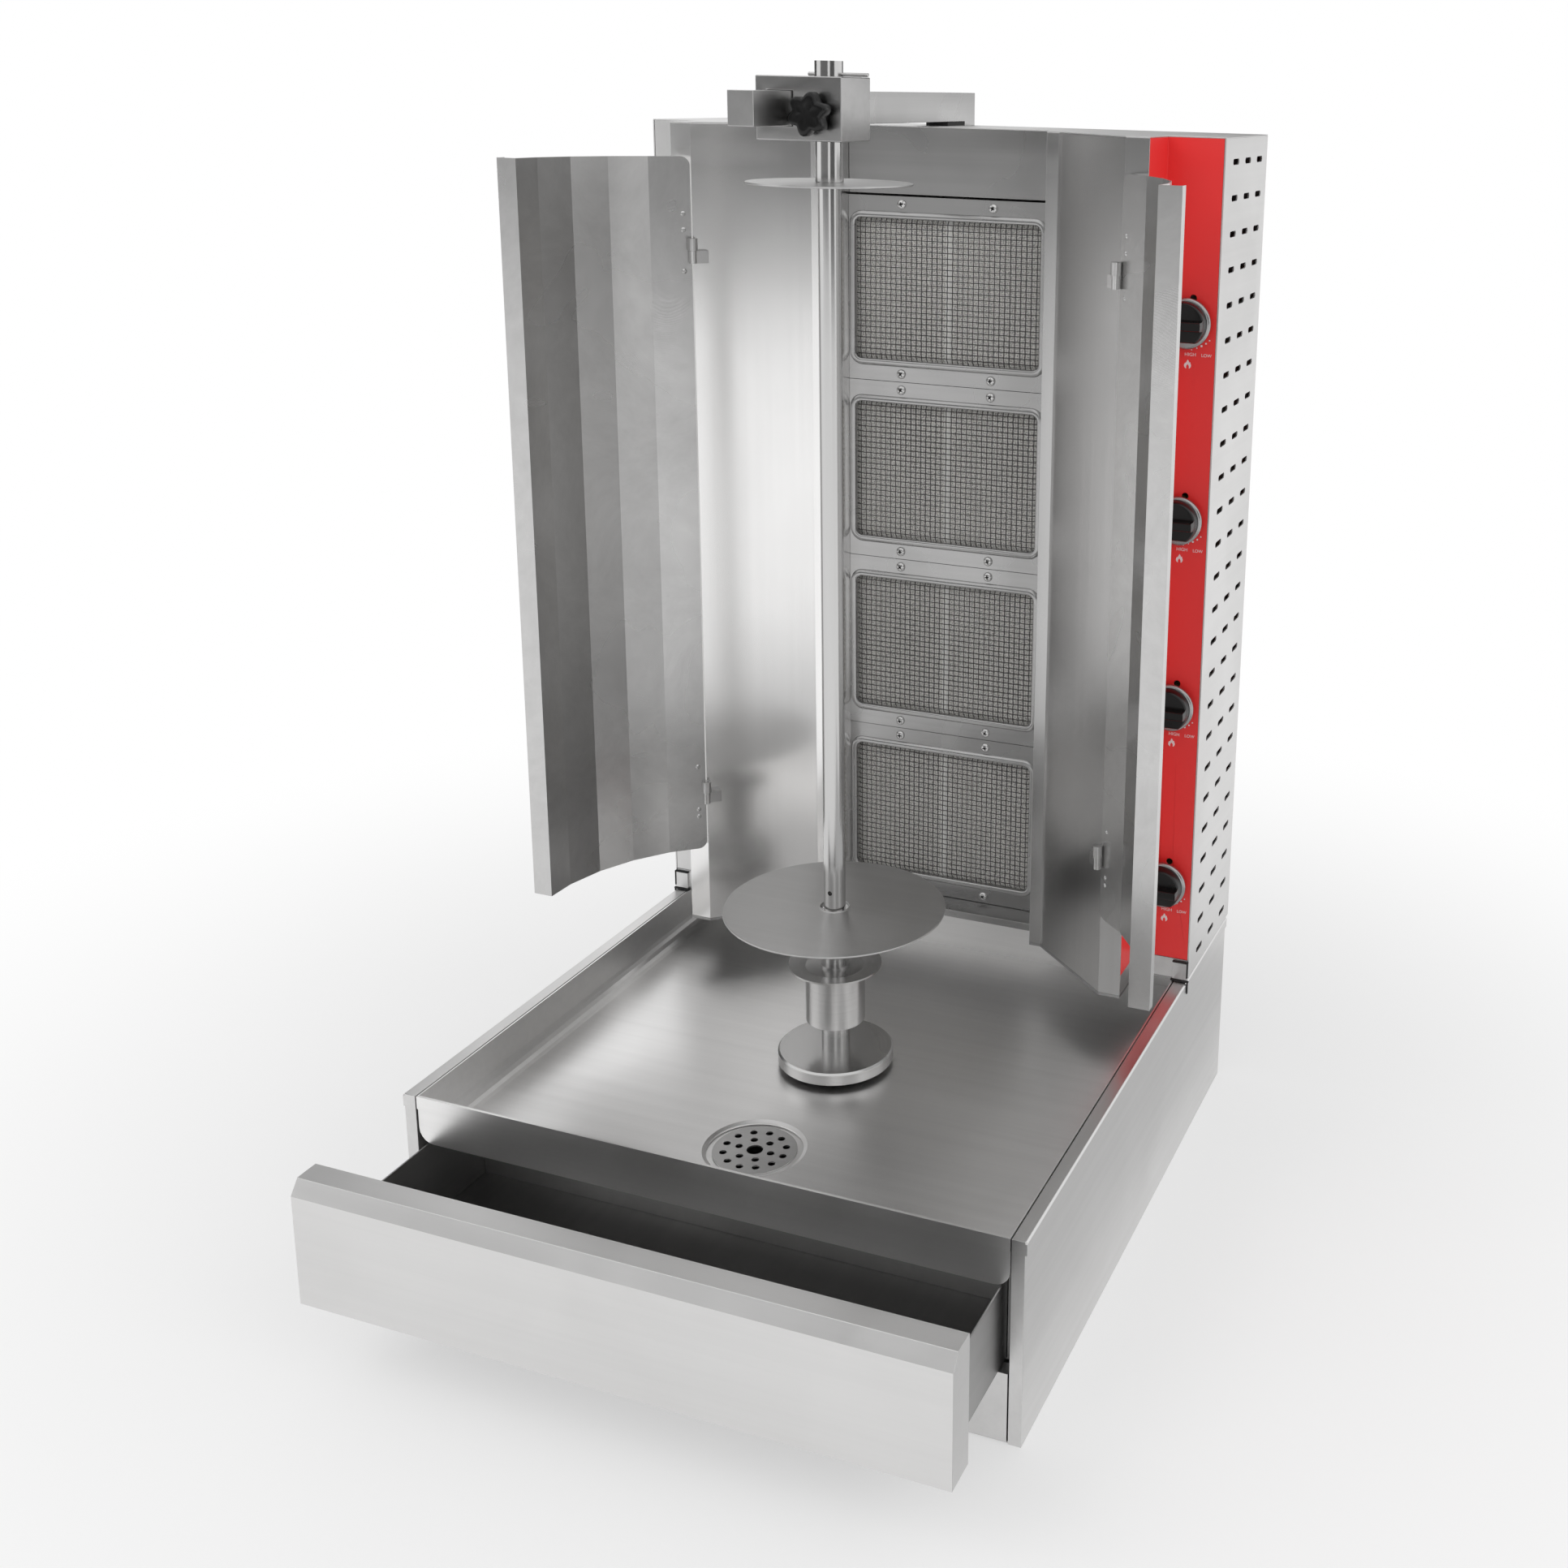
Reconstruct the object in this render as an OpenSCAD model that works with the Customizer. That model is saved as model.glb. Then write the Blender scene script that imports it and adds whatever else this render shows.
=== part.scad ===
// Gas doner kebab grill: a fat pan and drawer below, four burners behind a turning spit.
// X is to the right, Y runs from the front to the back, Z is up from the table.
// The origin is the middle of the base's footprint, on the table.

/* [Base] */
// Width over the side panels
base_w = 530; // [520:1:560]
// Depth from the front plane to the back panel
base_d = 567; // [560:1:620]
// Height to the top of the rims
base_h = 171.5; // [170:0.5:190]
// Thickness of the base sheet
sheet = 1.5; // [1:0.1:2]
// Width of the flat rim on a side panel
rim_w = 10.5; // [8:0.5:14]
// Height of the rim's outer fold
rim_h = 11; // [8:0.5:14]
// How far the outer fold stands proud of its panel
rim_bulge = 1.4; // [0.5:0.1:1.8]
// Height of the lower front rail
rail_h = 59.3; // [50:0.1:59.5]
// Depth of the flanges folded on the base sheets
flange_d = 12; // [8:0.5:13]

/* [Fat pan] */
// Thickness of the pan sheet
pan_sheet = 1.2; // [0.8:0.1:1.5]
// Height of the pan's underside
pan_z = 130.6; // [129:0.1:134]
// Radius of the long lower corners
pan_corner_r = 13; // [9:0.5:15]
// Height of the hem along the front lip
pan_hem_h = 11; // [6:0.5:16]
// How far the rear wall stops below the rims
pan_rear_drop = 3.5; // [2:0.5:10]
// Distance from the front to the middle of the drain
drain_y = 90.4; // [80:0.1:110]
// Radius of the dished recess round the drain
dish_r = 42; // [40:0.5:48]
// Depth of the dished recess
dish_d = 3; // [2:0.5:4]
// Radius of the lift-out strainer
strainer_r = 34; // [32:0.5:36]
// Radius of the strainer's middle hole
strainer_eye_r = 6.6; // [4:0.1:8]
// Radius of the strainer's small holes
strainer_hole_r = 3; // [2:0.1:3.2]
// Radius of the inner ring of small holes
strainer_ring_r = 14.2; // [13:0.1:16]
// Distance from the inner ring of holes to the outer one
strainer_ring_step = 11; // [9:0.1:12]

/* [Drawer] */
// Width of the drawer front
front_w = 528; // [500:1:529]
// Height of the drawer front's lower edge
front_z = 67.7; // [62:0.1:70]
// Height of the drawer front
front_h = 102; // [96:0.5:102]
// Depth of the drawer front's folded channel
front_d = 27.7; // [20:0.1:40]
// Depth of the bevel along the front's top edge
bevel_d = 8; // [4:0.5:12]
// Height of that bevel
bevel_h = 11; // [6:0.5:16]
// How far the drawer stands open at rest
drawer_open = 101.5; // [60:0.5:120]
// Width of the drawer box
box_w = 494; // [488:1:495]
// Height of the drawer box's underside
box_z = 62; // [61.6:0.1:64]
// Thickness of the box's sheet
box_sheet = 1.2; // [0.8:0.1:1.5]
// How far the box's back wall is cut down under the drain
box_back_drop = 12; // [8:0.5:20]

/* [Tower] */
// Depth of the tower's side boxes
tower_d = 147; // [135:1:150]
// How far the side covers stand outside the base
cover_out = 2; // [1.8:0.1:4]
// Thickness of the tower sheet
tower_sheet = 1.2; // [0.8:0.1:1.5]
// Width of each front panel beside the bay
panel_w = 49; // [46:0.5:54]
// How far the posts stand in front of the front panels
post_out = 52.8; // [46:0.1:58]
// Width of a post's front face
post_w = 20; // [14:0.5:26]
// Thickness of the tower's floor plate
floor_t = 2.5; // [1.5:0.1:4]
// Height of the steel strip below the front panels
strip_h = 19; // [14:0.5:24]
// Width of the flange at the rear end of a slanted wall
bay_flange_w = 11; // [8:0.5:16]
// How much wider the bay is at that flange, each side
bay_flare = 9; // [5:0.5:12]
// Distance from the flange's face back to the burners
bay_d = 35.8; // [30:0.1:42]
// How far the burners lie behind the front panels
bay_inset = 52.4; // [46:0.1:58]
// Height of the fascia above the burners
fascia_h = 59; // [50:0.5:60]
// Rows of slots in a side cover
slot_rows = 25; // [20:1:25]
// Pitch of those rows
slot_pitch = 29.75; // [26:0.05:30]
// Length of a slot
slot_l = 20; // [14:0.5:26]
// Width of a slot
slot_w = 5; // [3:0.5:7]
// Pitch of the three columns of slots
slot_col_pitch = 41.5; // [32:0.5:43]

/* [Burners] */
// Pitch of the burners up the bay
burner_pitch = 168.9; // [168.5:0.1:172]
// Height of one burner frame
burner_frame_h = 168.4; // [165:0.1:168.4]
// Width of a burner frame
burner_frame_w = 194; // [193:0.5:196]
// Width of a burner window
window_w = 180.2; // [170:0.1:181]
// Height of a burner window
window_h = 128.3; // [120:0.1:129]
// Thickness of a burner frame's sheet
frame_t = 1.2; // [0.8:0.1:1.5]
// Width of one ceramic plaque
plaque_w = 92; // [91:0.5:92]
// Height of one ceramic plaque
plaque_h = 132; // [131:0.5:134]
// Thickness of a plaque
plaque_t = 13; // [10:0.5:14]
// Depth of a burner box behind its frame
burner_box_d = 55; // [48:0.5:58]
// Openings across one gauze
gauze_cols = 10; // [6:1:10]
// Openings up one gauze
gauze_rows = 7; // [4:1:7]
// Width of a gauze strand
strand_w = 2.2; // [1:0.1:3]
// Thickness of a gauze
gauze_t = 1; // [0.8:0.1:1.5]

/* [Gas line] */
// Radius of the manifold tube
manifold_r = 8; // [6:0.5:9]
// Radius of the inlet's threaded end
inlet_r = 10.45; // [9:0.05:13]
// Length of that end
inlet_l = 20; // [14:0.5:30]
// Radius of a tap body
tap_r = 12; // [10:0.5:13]
// Length of a tap body
tap_l = 39; // [36:0.5:42]
// Radius of a tap's plug
plug_r = 7; // [6:0.1:8]
// Radius of a tap's stem
stem_r = 4; // [3:0.1:5]
// Radius of a knob's skirt
knob_r = 21.5; // [18:0.5:22]
// Radius of a knob's barrel
knob_barrel_r = 17.5; // [14:0.5:17.5]
// Depth of a knob's skirt
knob_skirt_d = 4; // [2:0.5:5]
// Depth of a knob's barrel
knob_barrel_d = 12; // [10:0.5:14]
// How far a knob's grip stands up from the barrel
knob_grip_d = 8; // [5:0.5:12]
// Width of a knob's grip
knob_grip_w = 8; // [6:0.5:11]
// How far a knob is pushed in to free its tap
knob_push = 3; // [2:0.5:3.5]

/* [Spit] */
// Distance from the burners forward to the spit's axis
spit_reach = 235.1; // [230:0.1:240]
// Radius of the spit rod
rod_r = 9.25; // [8:0.05:9.4]
// Radius of the large lower disc
lower_disc_r = 95; // [80:1:100]
// Radius of the upper disc
upper_disc_r = 65; // [50:1:80]
// Radius of the small drip disc
drip_disc_r = 40; // [32:0.5:46]
// Thickness of the discs
disc_t = 1.5; // [1:0.1:2.5]
// Height of the lower disc above the drip disc
lower_disc_lift = 52.5; // [40:0.5:70]
// Radius of the drive cup
cup_r = 25.5; // [22:0.5:30]
// Height of the drive cup
cup_h = 48.5; // [40:0.5:60]
// Radius of the spigot under the cup
spigot_r = 12.2; // [11:0.1:14]
// Height of the spigot
spigot_h = 27.5; // [20:0.5:36]
// Radius of the foot disc
foot_r = 50; // [48:0.5:58]
// Thickness of the foot disc
foot_t = 10.5; // [6:0.5:14]
// Gap between the foot disc and the pan's floor
foot_gap = 4.7; // [3:0.1:8]
// Radius of the shaft through the pan
shaft_r = 10; // [8:0.1:10.5]

/* [Arm] */
// Width of the arm's bar
bar_w = 21.2; // [18:0.1:22]
// Height of the arm's bar
bar_h = 25.5; // [20:0.1:30]
// Gap between the tower's top and the bar
bar_gap = 3.65; // [2:0.05:6]
// Length of the bar in front of the spit's axis
bar_front = 97.1; // [80:0.1:120]
// Depth of the arm's rear leg
leg_d = 24; // [18:0.5:28]
// How far the leg reaches down inside the tower
leg_h = 120; // [80:1:160]
// Length of the rubber pad under the bar
pad_l = 40; // [24:1:60]
// Width of the clamp block
block_w = 71.6; // [68:0.1:76]
// Depth of the clamp block
block_d = 50.9; // [48:0.1:60]
// Height of the clamp block
block_h = 47.4; // [40:0.1:56]
// Distance from the spit's axis to the block's front
block_front = 36.8; // [30:0.1:38]
// Distance from the spit's axis to the block's right side
block_right = 28.3; // [22:0.1:32]
// Outer radius of the lock sleeve
sleeve_r = 11; // [10.6:0.1:11.4]
// How far the sleeve stands above the block
sleeve_top = 11.6; // [8:0.1:20]
// How far the sleeve hangs below the block
sleeve_drop = 31; // [20:0.5:40]
// Radius of the star knob
star_r = 17; // [14:0.5:18]
// Thickness of the star knob
star_t = 12; // [8:0.5:16]
// Number of lobes on the star knob
star_lobes = 6; // [5:1:8]

/* [Shields] */
// Radius of the hinge pins
pin_r = 2; // [1.6:0.1:2.1]
// Length of one straight strip of a shield
strip_l = 36; // [30:0.5:37]
// Length of the last strip
last_strip_l = 28; // [20:0.5:30]
// Angle of the first strip from the front plane
first_turn = 42; // [40:0.5:46]
// Angle between neighbouring strips
strip_turn = 11.5; // [8:0.5:12]
// Width of the flange along the free edge
edge_w = 18; // [12:0.5:22]
// Depth of that flange's rear hem
edge_d = 9; // [6:0.5:12]
// How far a shield starts above the rims
shield_lift = 77.5; // [70:0.5:90]
// How far a shield stops below the tower's top
shield_drop = 29.35; // [24:0.05:40]
// Length of one hinge
hinge_l = 22; // [16:0.5:30]

/* [Drive] */
// How far the carriage slides forward from rest
slide_front = 15; // [5:0.5:15]
// How far the carriage slides back from rest
slide_back = 20; // [5:0.5:20]
// Radius of the two guide rods
guide_r = 5; // [4:0.1:5.4]
// Teeth on the output gear
gear_teeth = 44; // [40:1:46]
// Teeth on the motor pinion
pinion_teeth = 16; // [14:1:18]
// Gear module
gear_module = 1; // [0.9:0.01:1.04]
// Face width of the output gear
gear_t = 10; // [6:0.5:12]
// Radius of the motor can
motor_r = 28; // [22:0.5:29]
// Height of the motor can
motor_h = 50; // [36:0.5:54]

/* [Hidden] */

// Smooth circles, and straight facets for the long bends of the sheets
$fn = 48;
bend_steps = 5;
burner_count = 4;

// Fits and gaps
slip = 0.3;
running = 0.05;
flat_fit = 0.2;
overrun = 1;

// Base
inner_x = base_w / 2 - sheet;
rim_x = base_w / 2 - rim_w;
rail_gap = 1.1;
gland_in = 83.5;
gland_x = inner_x - gland_in;
gland_z = 60;
gland_bore_r = 4;
gland_shank_r = 6.7;
gland_nut_r = 10.5;
gland_nut_l = 7;
gland_dome_r = 8.5;
gland_dome_l = 11;
gland_inner_l = 9;

// Tower plan, seen as its right half from the cover to the bay
cover_x = base_w / 2 + cover_out;
tower_y = base_d - tower_d;
post_x = cover_x - panel_w;
post_in_x = post_x - post_w;
post_y = tower_y - post_out;
burner_y = tower_y + bay_inset;
bay_half_w = burner_frame_w / 2;
bay_y = burner_y - bay_d;
bay_mouth_x = bay_half_w + bay_flare;
slant_x = bay_mouth_x + bay_flange_w;
slant_angle = atan2(bay_y - post_y, post_in_x - slant_x);
bay_angle = atan2(bay_flare, bay_d);
panel_end_x = cover_x - tower_sheet - slip;

// Tower heights
tower_z = base_h + floor_t;
burner_lift = 13.8;
burner_base_z = tower_z + burner_lift;
header_h = 61.95;
tower_h = burner_base_z + burner_count * burner_pitch + header_h;
wall_top_z = tower_h - tower_sheet;
cover_rise = 1;
cover_z = tower_z + cover_rise;
strip_seam = 0.3;
panel_z = tower_z + strip_h + strip_seam;
ledge_out = 26;
ledge_lip = 6;
slot_drop = 20.35;
slot_mid = 77.5;
clip_w = 14.3;
clip_h = 16;
clip_t = 2;
clip_in = 0.1;
vent_rows = 8;
vent_pitch = 16;
vent_l = 60;
vent_w = 4;

// Fat pan
pan_side_gap = 1;
pan_half_w = rim_x - pan_side_gap;
pan_floor_z = pan_z + pan_sheet;
pan_rear_gap = 7.6;
pan_rear_y = burner_y + pan_rear_gap;
dish_ledge_w = 3.5;
dish_slope = 5;
dish_seat_r = strainer_r + slip;
dish_seat_z = pan_floor_z - dish_d;
strainer_t = 1.2;
inner_holes = 6;
outer_holes = 12;

// Spit axis and drive, from the pan down
spit_y = burner_y - spit_reach;
carriage_half_d = 32;
carriage_half_w = 75;
carriage_drop = 10.6;
carriage_t = 5;
carriage_z = pan_z - carriage_drop;
guide_x = 60;
guide_drop = 10;
guide_z = carriage_z - guide_drop;
lug_half_w = 9;
lug_wall = 2;
stop_gap = 2.3;
cross_w = 14;
cross_top_z = carriage_z + 2 * sheet;
cross_h = 26;
cross_front_y = spit_y - carriage_half_d - slide_front - stop_gap;
cross_back_y = spit_y + carriage_half_d + slide_back + stop_gap;
bearing_r = 21;
bearing_t = 12;
boss_wall = 5;
boss_h = 18;
boss_z = carriage_z - boss_h;
slot_gap = 2.5;
slot_r = shaft_r + slot_gap;
gearbox_h = 38;
gearbox_z = boss_z - gearbox_h;
gearbox_wall = 3;
gearbox_margin = 3;
root_depth_shares = 2.5;
tip_height_shares = 2;
gear_distance = gear_module * (gear_teeth + pinion_teeth) / 2;
gearbox_half_d = motor_r + gearbox_wall;
gearbox_left = gear_module * (gear_teeth + tip_height_shares) / 2 + gearbox_margin + gearbox_wall;
gearbox_right = gear_distance + gearbox_half_d;
gear_lift = 20;
gear_z = gearbox_z + gear_lift;
pinion_extra = 1;
low_shaft_r = 6;
motor_shaft_r = 3;
motor_bore_l = 10;
gear_backlash = 0.12;
pressure_angle = 20;
flank_steps = 4;

// Spit, from the foot disc up
foot_z = pan_floor_z + foot_gap;
foot_bevel = 1.5;
spigot_z = foot_z + foot_t;
cup_z = spigot_z + spigot_h;
cup_top_z = cup_z + cup_h;
coupling_r = 8;
coupling_l = 11;
rod_seat = 3;
rod_z = cup_z + coupling_l + rod_seat;
drip_collar_r = 12.5;
drip_collar_h = 2;
drip_rise = 2;
lower_disc_z = cup_top_z + disc_t + lower_disc_lift;
disc_hole_r = 12;
disc_bead = 0.8;
disc_bead_w = 1.2;
rest_pin_r = 2;
rest_pin_l = 34;
spare_hole_rise = 17.5;

// Arm and clamp
bar_z = tower_h + bar_gap;
bar_wall = 1.3;
bar_x = -sleeve_r - bar_wall - bar_w;
tower_back_y = base_d - tower_sheet;
leg_y = tower_back_y - leg_d;
block_z = bar_z + bar_h / 2 - block_h / 2;
block_y = spit_y - block_front;
bar_fit = 0.15;
rod_gap = 3;
rod_top_z = block_z - rod_gap;
sleeve_z = block_z - sleeve_drop;
sleeve_end_z = block_z + block_h + sleeve_top;
upper_disc_gap = 0.5;
upper_disc_z = sleeve_z - upper_disc_gap - disc_t;
cross_pin_r = 1.5;
cross_pin_l = 50;
cross_pin_left = 17;
star_gap = 2.2;
star_x = bar_x + bar_w + star_gap + star_r;
star_low = 3.7;
star_collar_t = 4.2;
star_collar_r = 7.5;
stud_r = 4;
lobe_ring_share = 0.72;
star_core_share = 0.66;
star_z = bar_z + bar_h / 2 - star_low;

// Drawer, from its front plane at rest
box_back_gap = 2;
front_back_y = -drawer_open - slip;
front_y = front_back_y - front_d;
front_top_z = front_z + front_h;
box_half_w = box_w / 2;
box_y = front_back_y;
box_l = cross_front_y - cross_w - box_back_gap - drawer_open - box_y;
box_top_gap = 0.8;
box_top_z = pan_z - box_top_gap;
runner_y = flange_d + sheet + overrun;
runner_gap = 0.6;
runner_foot = 14;
runner_drop = 0.4;
runner_x = box_half_w + runner_gap + sheet;
ledge_leg_h = 6;
corner_dx = max(0, runner_x - sheet - (pan_half_w - pan_corner_r));
corner_reach = pan_corner_r + flat_fit;
pan_seat_z = pan_z + pan_corner_r - sqrt(corner_reach * corner_reach - corner_dx * corner_dx);

// Burners
gauze_lap = 2.3;
gauze_gap = 4;
plaque_gap = 1;
window_corner_r = 6;
burner_screw_x = 44.3;
burner_screw_z = 77;
burner_screw_hole_r = 2;
screw_head_r = 4.3;
screw_head_t = 2.4;
screw_shank_r = 1.8;
screw_l = 8;
leg_screw_r = 5;
leg_screw_t = 3.5;
leg_shank_r = 3.5;
leg_screw_step = 50;
tray_half_w = plaque_w + plaque_gap / 2 + slip;
tray_half_h = plaque_h / 2 + slip;
burner_wall = 1.2;
gauze_y = burner_y + frame_t;
plaque_y = gauze_y + gauze_t + gauze_gap;
venturi_r = 13;
venturi_wall = 1.5;
venturi_l = 26;
venturi_back = 30;
venturi_y = gauze_y + venturi_back;

// Gas line
knob_in = 26;
knob_x = cover_x - knob_in;
knob_low = 5.5;
tap_y = tower_y + tower_sheet;
tap_seat_l = 26;
tap_wall = 3;
tap_seat_y = tap_y + tap_wall;
neck_r = 5;
pipe_r = 4;
nozzle_r = 6.5;
nozzle_l = 10;
nozzle_gap = 3;
manifold_in = 10;
manifold_x = post_x - manifold_in;
manifold_y = tap_y + tap_l / 2;
inlet_rise = 48;
inlet_z = burner_base_z + inlet_rise;
inlet_hex_r = 14;
inlet_hex_t = 6;
knob_gap = 5.8;
knob_y = tower_y - knob_gap;
knob_wall = 3;
stem_y = knob_y - knob_skirt_d - knob_barrel_d + knob_wall + knob_push + slip;
knob_edge = 1.5;
sight_r = 3;
sight_right = 3.8;
sight_up = 20.5;

// Shields and their hinges
hinge_in = 3;
hinge_fwd = 5.7;
hinge_x = post_in_x - hinge_in;
hinge_y = post_y - hinge_fwd;
ring_wall = 2.4;
shield_gap = 2.1;
shield_face_r = pin_r + shield_gap;
knuckle_wall = 1.4;
knuckle_r = pin_r + knuckle_wall;
leaf_start = 1.7;
leaf_end = 14;
leaf_low = 0.5;
leaf_high = hinge_in * sin(slant_angle) + hinge_fwd * cos(slant_angle);
shield_z = base_h + shield_lift;
shield_top_z = tower_h - shield_drop;
hinge_low_rise = 47;
hinge_high_drop = 92;
hinge_low_z = shield_z + hinge_low_rise;
hinge_high_z = shield_top_z - hinge_high_drop;
shield_corner_r = 8;
rivet_r = 2.2;
rivet_t = 0.9;
rivet_in = 7;
strip_count = 4;

// Places every part from the front plane instead of from the middle
module from_front() translate([0, -base_d / 2, 0]) children();

// Puts the same thing on both sides
module both_sides() {
  children();
  mirror([1, 0, 0]) children();
}

// One copy for each burner, moved up to its middle
module each_burner() {
  for (i = [0 : burner_count - 1])
    translate([0, 0, burner_z(i)]) children();
}

function burner_z(i) = burner_base_z + burner_pitch * (burner_count - i) - burner_pitch / 2;
function knob_z(i) = burner_z(i) - knob_low;

// Folded sheet: a path and the same path moved sideways by the sheet's thickness
function unit(v) = v / norm(v);
function leftward(v) = [-v.y, v.x];
function mitre(a, b) = (a + b) / (1 + a * b);
function leg(path, i) = unit(path[i + 1] - path[i]);
function moved(path, t) = [for (i = [0 : len(path) - 1])
  let (a = i > 0 ? leg(path, i - 1) : leg(path, i), b = i < len(path) - 1 ? leg(path, i) : a)
  path[i] + t * mitre(leftward(a), leftward(b))];
function reversed(path) = [for (i = [len(path) - 1 : -1 : 0]) path[i]];
module folded(path, t) polygon(concat(path, reversed(moved(path, t))));

// Points of an arc about c from angle a to angle b
function arc(c, r, a, b) = [for (i = [0 : bend_steps])
  let (w = a + (b - a) * i / bend_steps) c + r * [cos(w), sin(w)]];

// Extrusion whose outline lies in X and Z and runs back along Y from y
module along_y(y, l) translate([0, y + l, 0]) rotate([90, 0, 0]) linear_extrude(l) children();

// Rod along Y from y
module rod_y(x, y, z, r, l) translate([x, y, z]) rotate([-90, 0, 0]) cylinder(r = r, h = l);

// Rod along X from x
module rod_x(x, y, z, r, l) translate([x, y, z]) rotate([0, 90, 0]) cylinder(r = r, h = l);

// Slot with round ends, flat in X and Y, its length along X
module slot_shape(l, w) {
  square([l - w, w], center = true);
  for (s = [-1, 1]) translate([s * (l - w) / 2, 0]) circle(r = w / 2);
}

// Rectangle with round corners, about its middle
module round_rect(w, h, r) {
  square([w - 2 * r, h], center = true);
  square([w, h - 2 * r], center = true);
  for (x = [-1, 1], y = [-1, 1]) translate([x * (w / 2 - r), y * (h / 2 - r)]) circle(r = r);
}

// Plan of the tower out to x_out at the sides and y_out at the back
function half_plan(x_out, y_out) = [[x_out, y_out], [x_out, tower_y], [post_x, tower_y],
  [post_x, post_y], [post_in_x, post_y], [slant_x, bay_y], [bay_mouth_x, bay_y],
  [bay_half_w, burner_y]];
module tower_plan(x_out, y_out) {
  half = half_plan(x_out, y_out);
  polygon(concat(half, [for (p = reversed(half)) [-p.x, p.y]]));
}

// Side panel of the base with its folded rim and front flange
module base_side() {
  color("silver") from_front() {
    along_y(sheet, base_d - sheet) folded([[base_w / 2, 0], [base_w / 2, base_h - rim_h],
      [base_w / 2 + rim_bulge, base_h - rim_h + rim_bulge],
      [base_w / 2 + rim_bulge, base_h - rim_bulge], [base_w / 2, base_h], [rim_x, base_h],
      [rim_x, base_h - rim_h]], sheet);
    translate([rim_x, 0, 0]) cube([rim_w, sheet, base_h]);
    translate([base_w / 2 - sheet, 0, base_h - rim_h])
      cube([sheet + rim_bulge, sheet, rim_h - rim_bulge]);
    translate([rim_x, sheet, sheet]) cube([sheet, flange_d - sheet, base_h - rim_h - sheet]);
  }
}
module base_side_right() base_side();
module base_side_left() mirror([1, 0, 0]) base_side();

// Lower front rail with its flanges
module base_front_rail() {
  half = rim_x - rail_gap;
  color("silver") from_front() difference() {
    translate([-half, 0, sheet]) cube([2 * half, flange_d, rail_h - sheet]);
    translate([-half - overrun, sheet, 2 * sheet])
      cube([2 * (half + overrun), flange_d, rail_h - 3 * sheet]);
  }
}
// Floor plate of the base
module base_bottom() {
  color("gray") from_front() translate([-inner_x, sheet, 0])
    cube([2 * inner_x, base_d - 2 * sheet, sheet]);
}

// Rear panel of the base with the hole for the gland and a row of vents
module base_back() {
  color("silver") from_front() difference() {
    translate([-inner_x, base_d - sheet, 0]) cube([2 * inner_x, sheet, base_h]);
    rod_y(-gland_x, base_d - sheet - overrun, gland_z, gland_shank_r + flat_fit,
      sheet + 2 * overrun);
    both_sides() translate([rim_x - flat_fit, base_d - sheet - overrun, base_h - rim_h - flat_fit])
      cube([rim_w + flat_fit, sheet + 2 * overrun, rim_h + flat_fit + overrun]);
    for (i = [0 : vent_rows - 1])
      along_y(base_d - sheet - overrun, sheet + 2 * overrun)
        translate([0, gland_z + (i - (vent_rows - 1) / 2) * vent_pitch / 2])
          slot_shape(vent_l * 2, vent_w);
  }
}

// Gland for the mains lead, with a plain bore
module cable_gland() {
  color("dimgray") from_front() difference() {
    union() {
      rod_y(-gland_x, base_d - sheet - gland_inner_l, gland_z, gland_shank_r,
        gland_inner_l + sheet + overrun);
      translate([-gland_x, base_d, gland_z]) rotate([-90, 0, 0])
        cylinder(r = gland_nut_r, h = gland_nut_l, $fn = 6);
      rod_y(-gland_x, base_d, gland_z, gland_dome_r, gland_nut_l + gland_dome_l);
    }
    rod_y(-gland_x, base_d - sheet - gland_inner_l - overrun, gland_z, gland_bore_r,
      gland_inner_l + sheet + gland_nut_l + gland_dome_l + 2 * overrun);
  }
}

// Runners that carry the drawer, with the ledges on which the pan sits
module drawer_runners() {
  color("dimgray") from_front() both_sides() {
    along_y(runner_y, cross_front_y - cross_w - runner_y - slip)
      folded([[box_half_w - runner_foot, box_z - runner_drop - sheet],
        [runner_x, box_z - runner_drop - sheet], [runner_x, pan_seat_z - sheet],
        [inner_x, pan_seat_z - sheet]], sheet);
    along_y(cross_front_y - cross_w - slip, pan_rear_y - cross_front_y + cross_w)
      folded([[inner_x, pan_seat_z - sheet - ledge_leg_h + sheet],
        [inner_x, pan_seat_z], [runner_x - sheet, pan_seat_z]], sheet);
  }
}

// Outline of the pan's cross-section, open at the top
function pan_path(half, low, top, r) = concat([[-half, top]],
  arc([-half + r, low + r], r, 180, 270), arc([half - r, low + r], r, 270, 360), [[half, top]]);

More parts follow.
